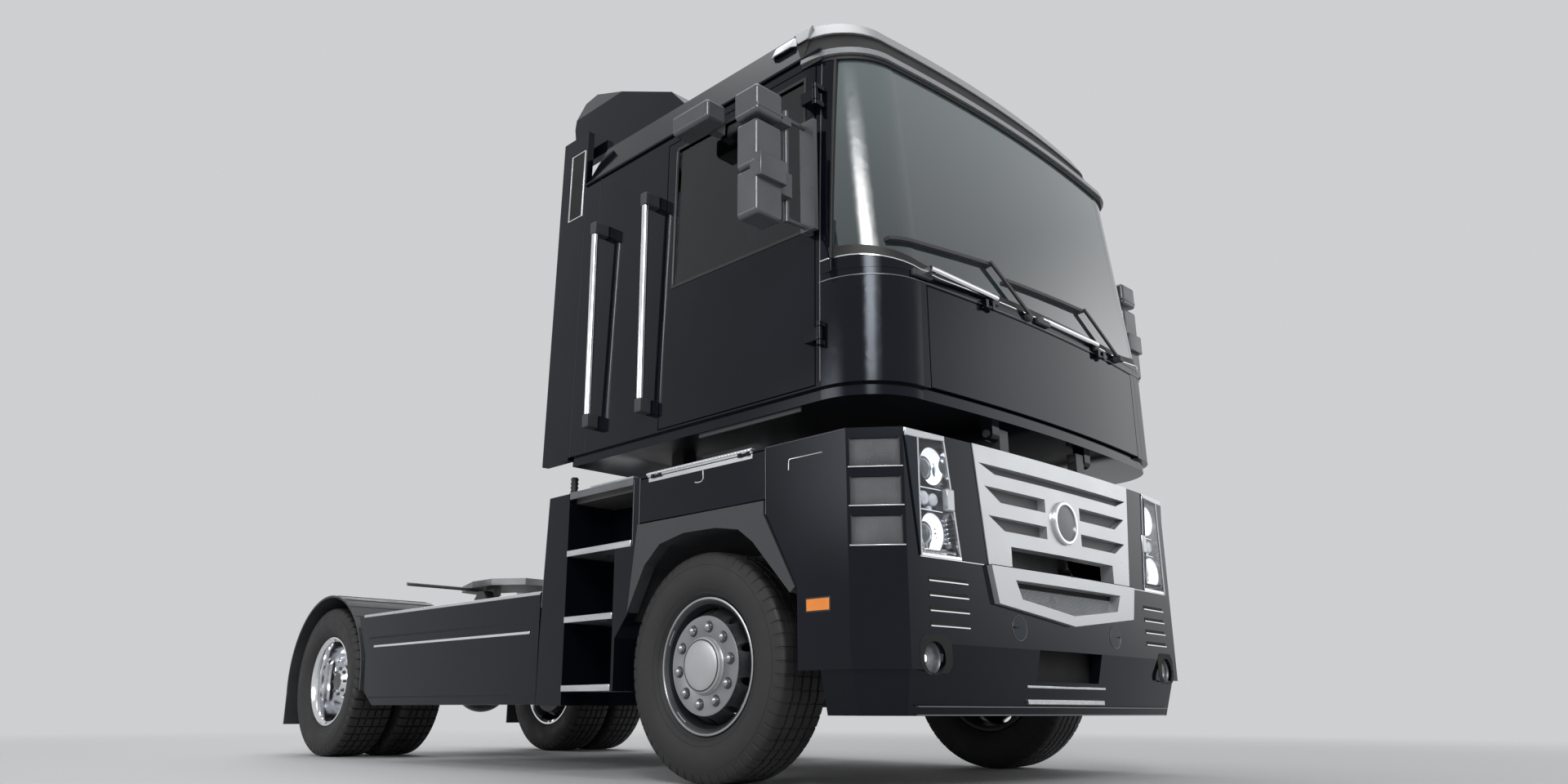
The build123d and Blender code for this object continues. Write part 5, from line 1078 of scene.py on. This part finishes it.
def build_skirts():
    Piece("skirt_band_{}", "bright_metal").box(
        (HALF - 0.001, HALF + 0.0045), (A1 + 1.332, A1 + 3.144), (0.694, 0.708)).done(bevel=0.0015)
    # a light grey strip on the skirt's top paints the highlight along its top edge
    Piece("skirt_top_highlight_{}", "silver_trim").box(
        (HALF - 0.016, HALF + 0.0015), (A1 + 1.252, A1 + 3.33), (0.893, 0.911)).done(bevel=0.003)
    # near-black strips paint the shade in the skirt's grooves
    grooves = Piece("skirt_groove_{}", "painted_shade_black")
    for rear, z in ((3.225, (0.75, 0.762)), (3.165, (0.379, 0.387))):
        grooves.box((HALF - 0.001, HALF + 0.0008), (A1 + 1.252, A1 + rear), z)
    grooves.done()


def build_rear():
    """Ribs on the rear fenders, brackets of the mud flaps and tail lamps."""
    ribs = Piece("fender_ribs_{}", "arch_plastic")
    for k in range(15):
        t = radians(12 + 11 * k)
        ribs.loft([[(x, A2 + r * cos(t + dt), 0.48 + r * sin(t + dt))
                    for dt, r in ((-0.016, 0.5985), (-0.01, 0.6035), (0.01, 0.6035), (0.016, 0.5985))]
                   for x in (0.575, 1.24)])
    ribs.done(bevel=0.002)
    Piece("flap_bracket_{}", "chassis_paint").box(
        (0.425, 1.23), (A2 + 0.588, A2 + 0.6), (0.44, 0.475)).done(bevel=0.002)
    for tag, mat, x in (("body", "tail_lens", (0.5, 0.72)), ("turn", "amber", (0.725, 0.805)),
                        ("reverse", "white_lens", (0.81, 0.89))):
        Piece(f"tail_lamp_{tag}_{{}}", mat).box(x, (A2 + 0.788, A2 + 0.7945), (0.75, 0.84)).done(bevel=0.004)


# ---------------- frame bolts, deck and coupling
def build_frame_bolts():
    bolts = Piece("frame_bolts", "coupling_steel")
    for side, _ in SIDES:
        for k in range(22):
            y = A1 - 0.8 + 0.245 * k
            if A2 - 0.15 < y < A2 + 0.15 or y > A2 + 0.74:
                continue
            for z in (0.775, 0.915):
                bolts.turned((side * 0.425, y, z), (side, 0, 0),
                             ((-0.002, 0.013), (0.009, 0.013), (0.011, 0.01), (0.011, 0.0)), 6)
    bolts.done(angle=25)


def build_deck_checks():
    """Small raised lozenges on the deck plate, turned by turns."""
    lozenge = ((-0.016, 0), (-0.008, 0.004), (0.008, 0.004), (0.016, 0), (0.008, -0.004), (-0.008, -0.004))
    checks = Piece("deck_checks", "deck_plate")
    for a in range(17):
        for b in range(26):
            x, y = -0.4 + 0.05 * a, A1 + 1.44 + 0.0485 * b
            turn = radians(45 if (a + b) % 2 else -45)
            c, s = cos(turn), sin(turn)
            checks.prism([(x + c * u - s * v, y + s * u + c * v) for u, v in lozenge], "z", (1.0045, 1.0065))
    checks.done()


def build_coupling():
    """The bright ring round the jaw and the grease grooves of the fifth wheel, whose near-black tubes paint
    the shade in them.
    """
    Piece("coupling_jaw", "bright_metal", "fifth_wheel").turned(
        (0, 1.51, 1.198), UP, ((-0.02, 0.0262), (0.001, 0.0265), (0.0015, 0.04), (-0.0005, 0.043)), 48).done()
    # near-black tubes paint the shade in the grease grooves
    grooves = Piece("coupling_grooves", "painted_shade_black", "fifth_wheel")
    for side, _ in SIDES:
        for r in (0.15, 0.235, 0.32):
            arc = [(side * r * cos(t), 1.47 + r * sin(t), 1.2002)
                   for t in steps(radians(-60), radians(60), 8)]
            grooves.tube([p for p in arc if abs(p[0]) > 0.08 or p[1] < 1.6], 0.0022, 6)
    grooves.done()


shade_screen()
dress_frame()
build_floor()
build_world()
build_lamps()
build_camera()
bpy.context.scene.view_settings.view_transform = "Standard"
for build in (
        build_front_wheels, build_rear_wheels, build_headlight_shells, build_headlight_insides,
        build_fog_lamps, build_intakes, build_louvres, build_bumper_middle, build_tow_covers,
        build_grille, build_bands, build_doors_and_handles, build_cab_sides, build_rails_and_pivots,
        build_mirrors, build_lockers, build_side_trim, build_steps, build_skirts, build_rear,
        build_frame_bolts, build_deck_checks, build_coupling):
    build()
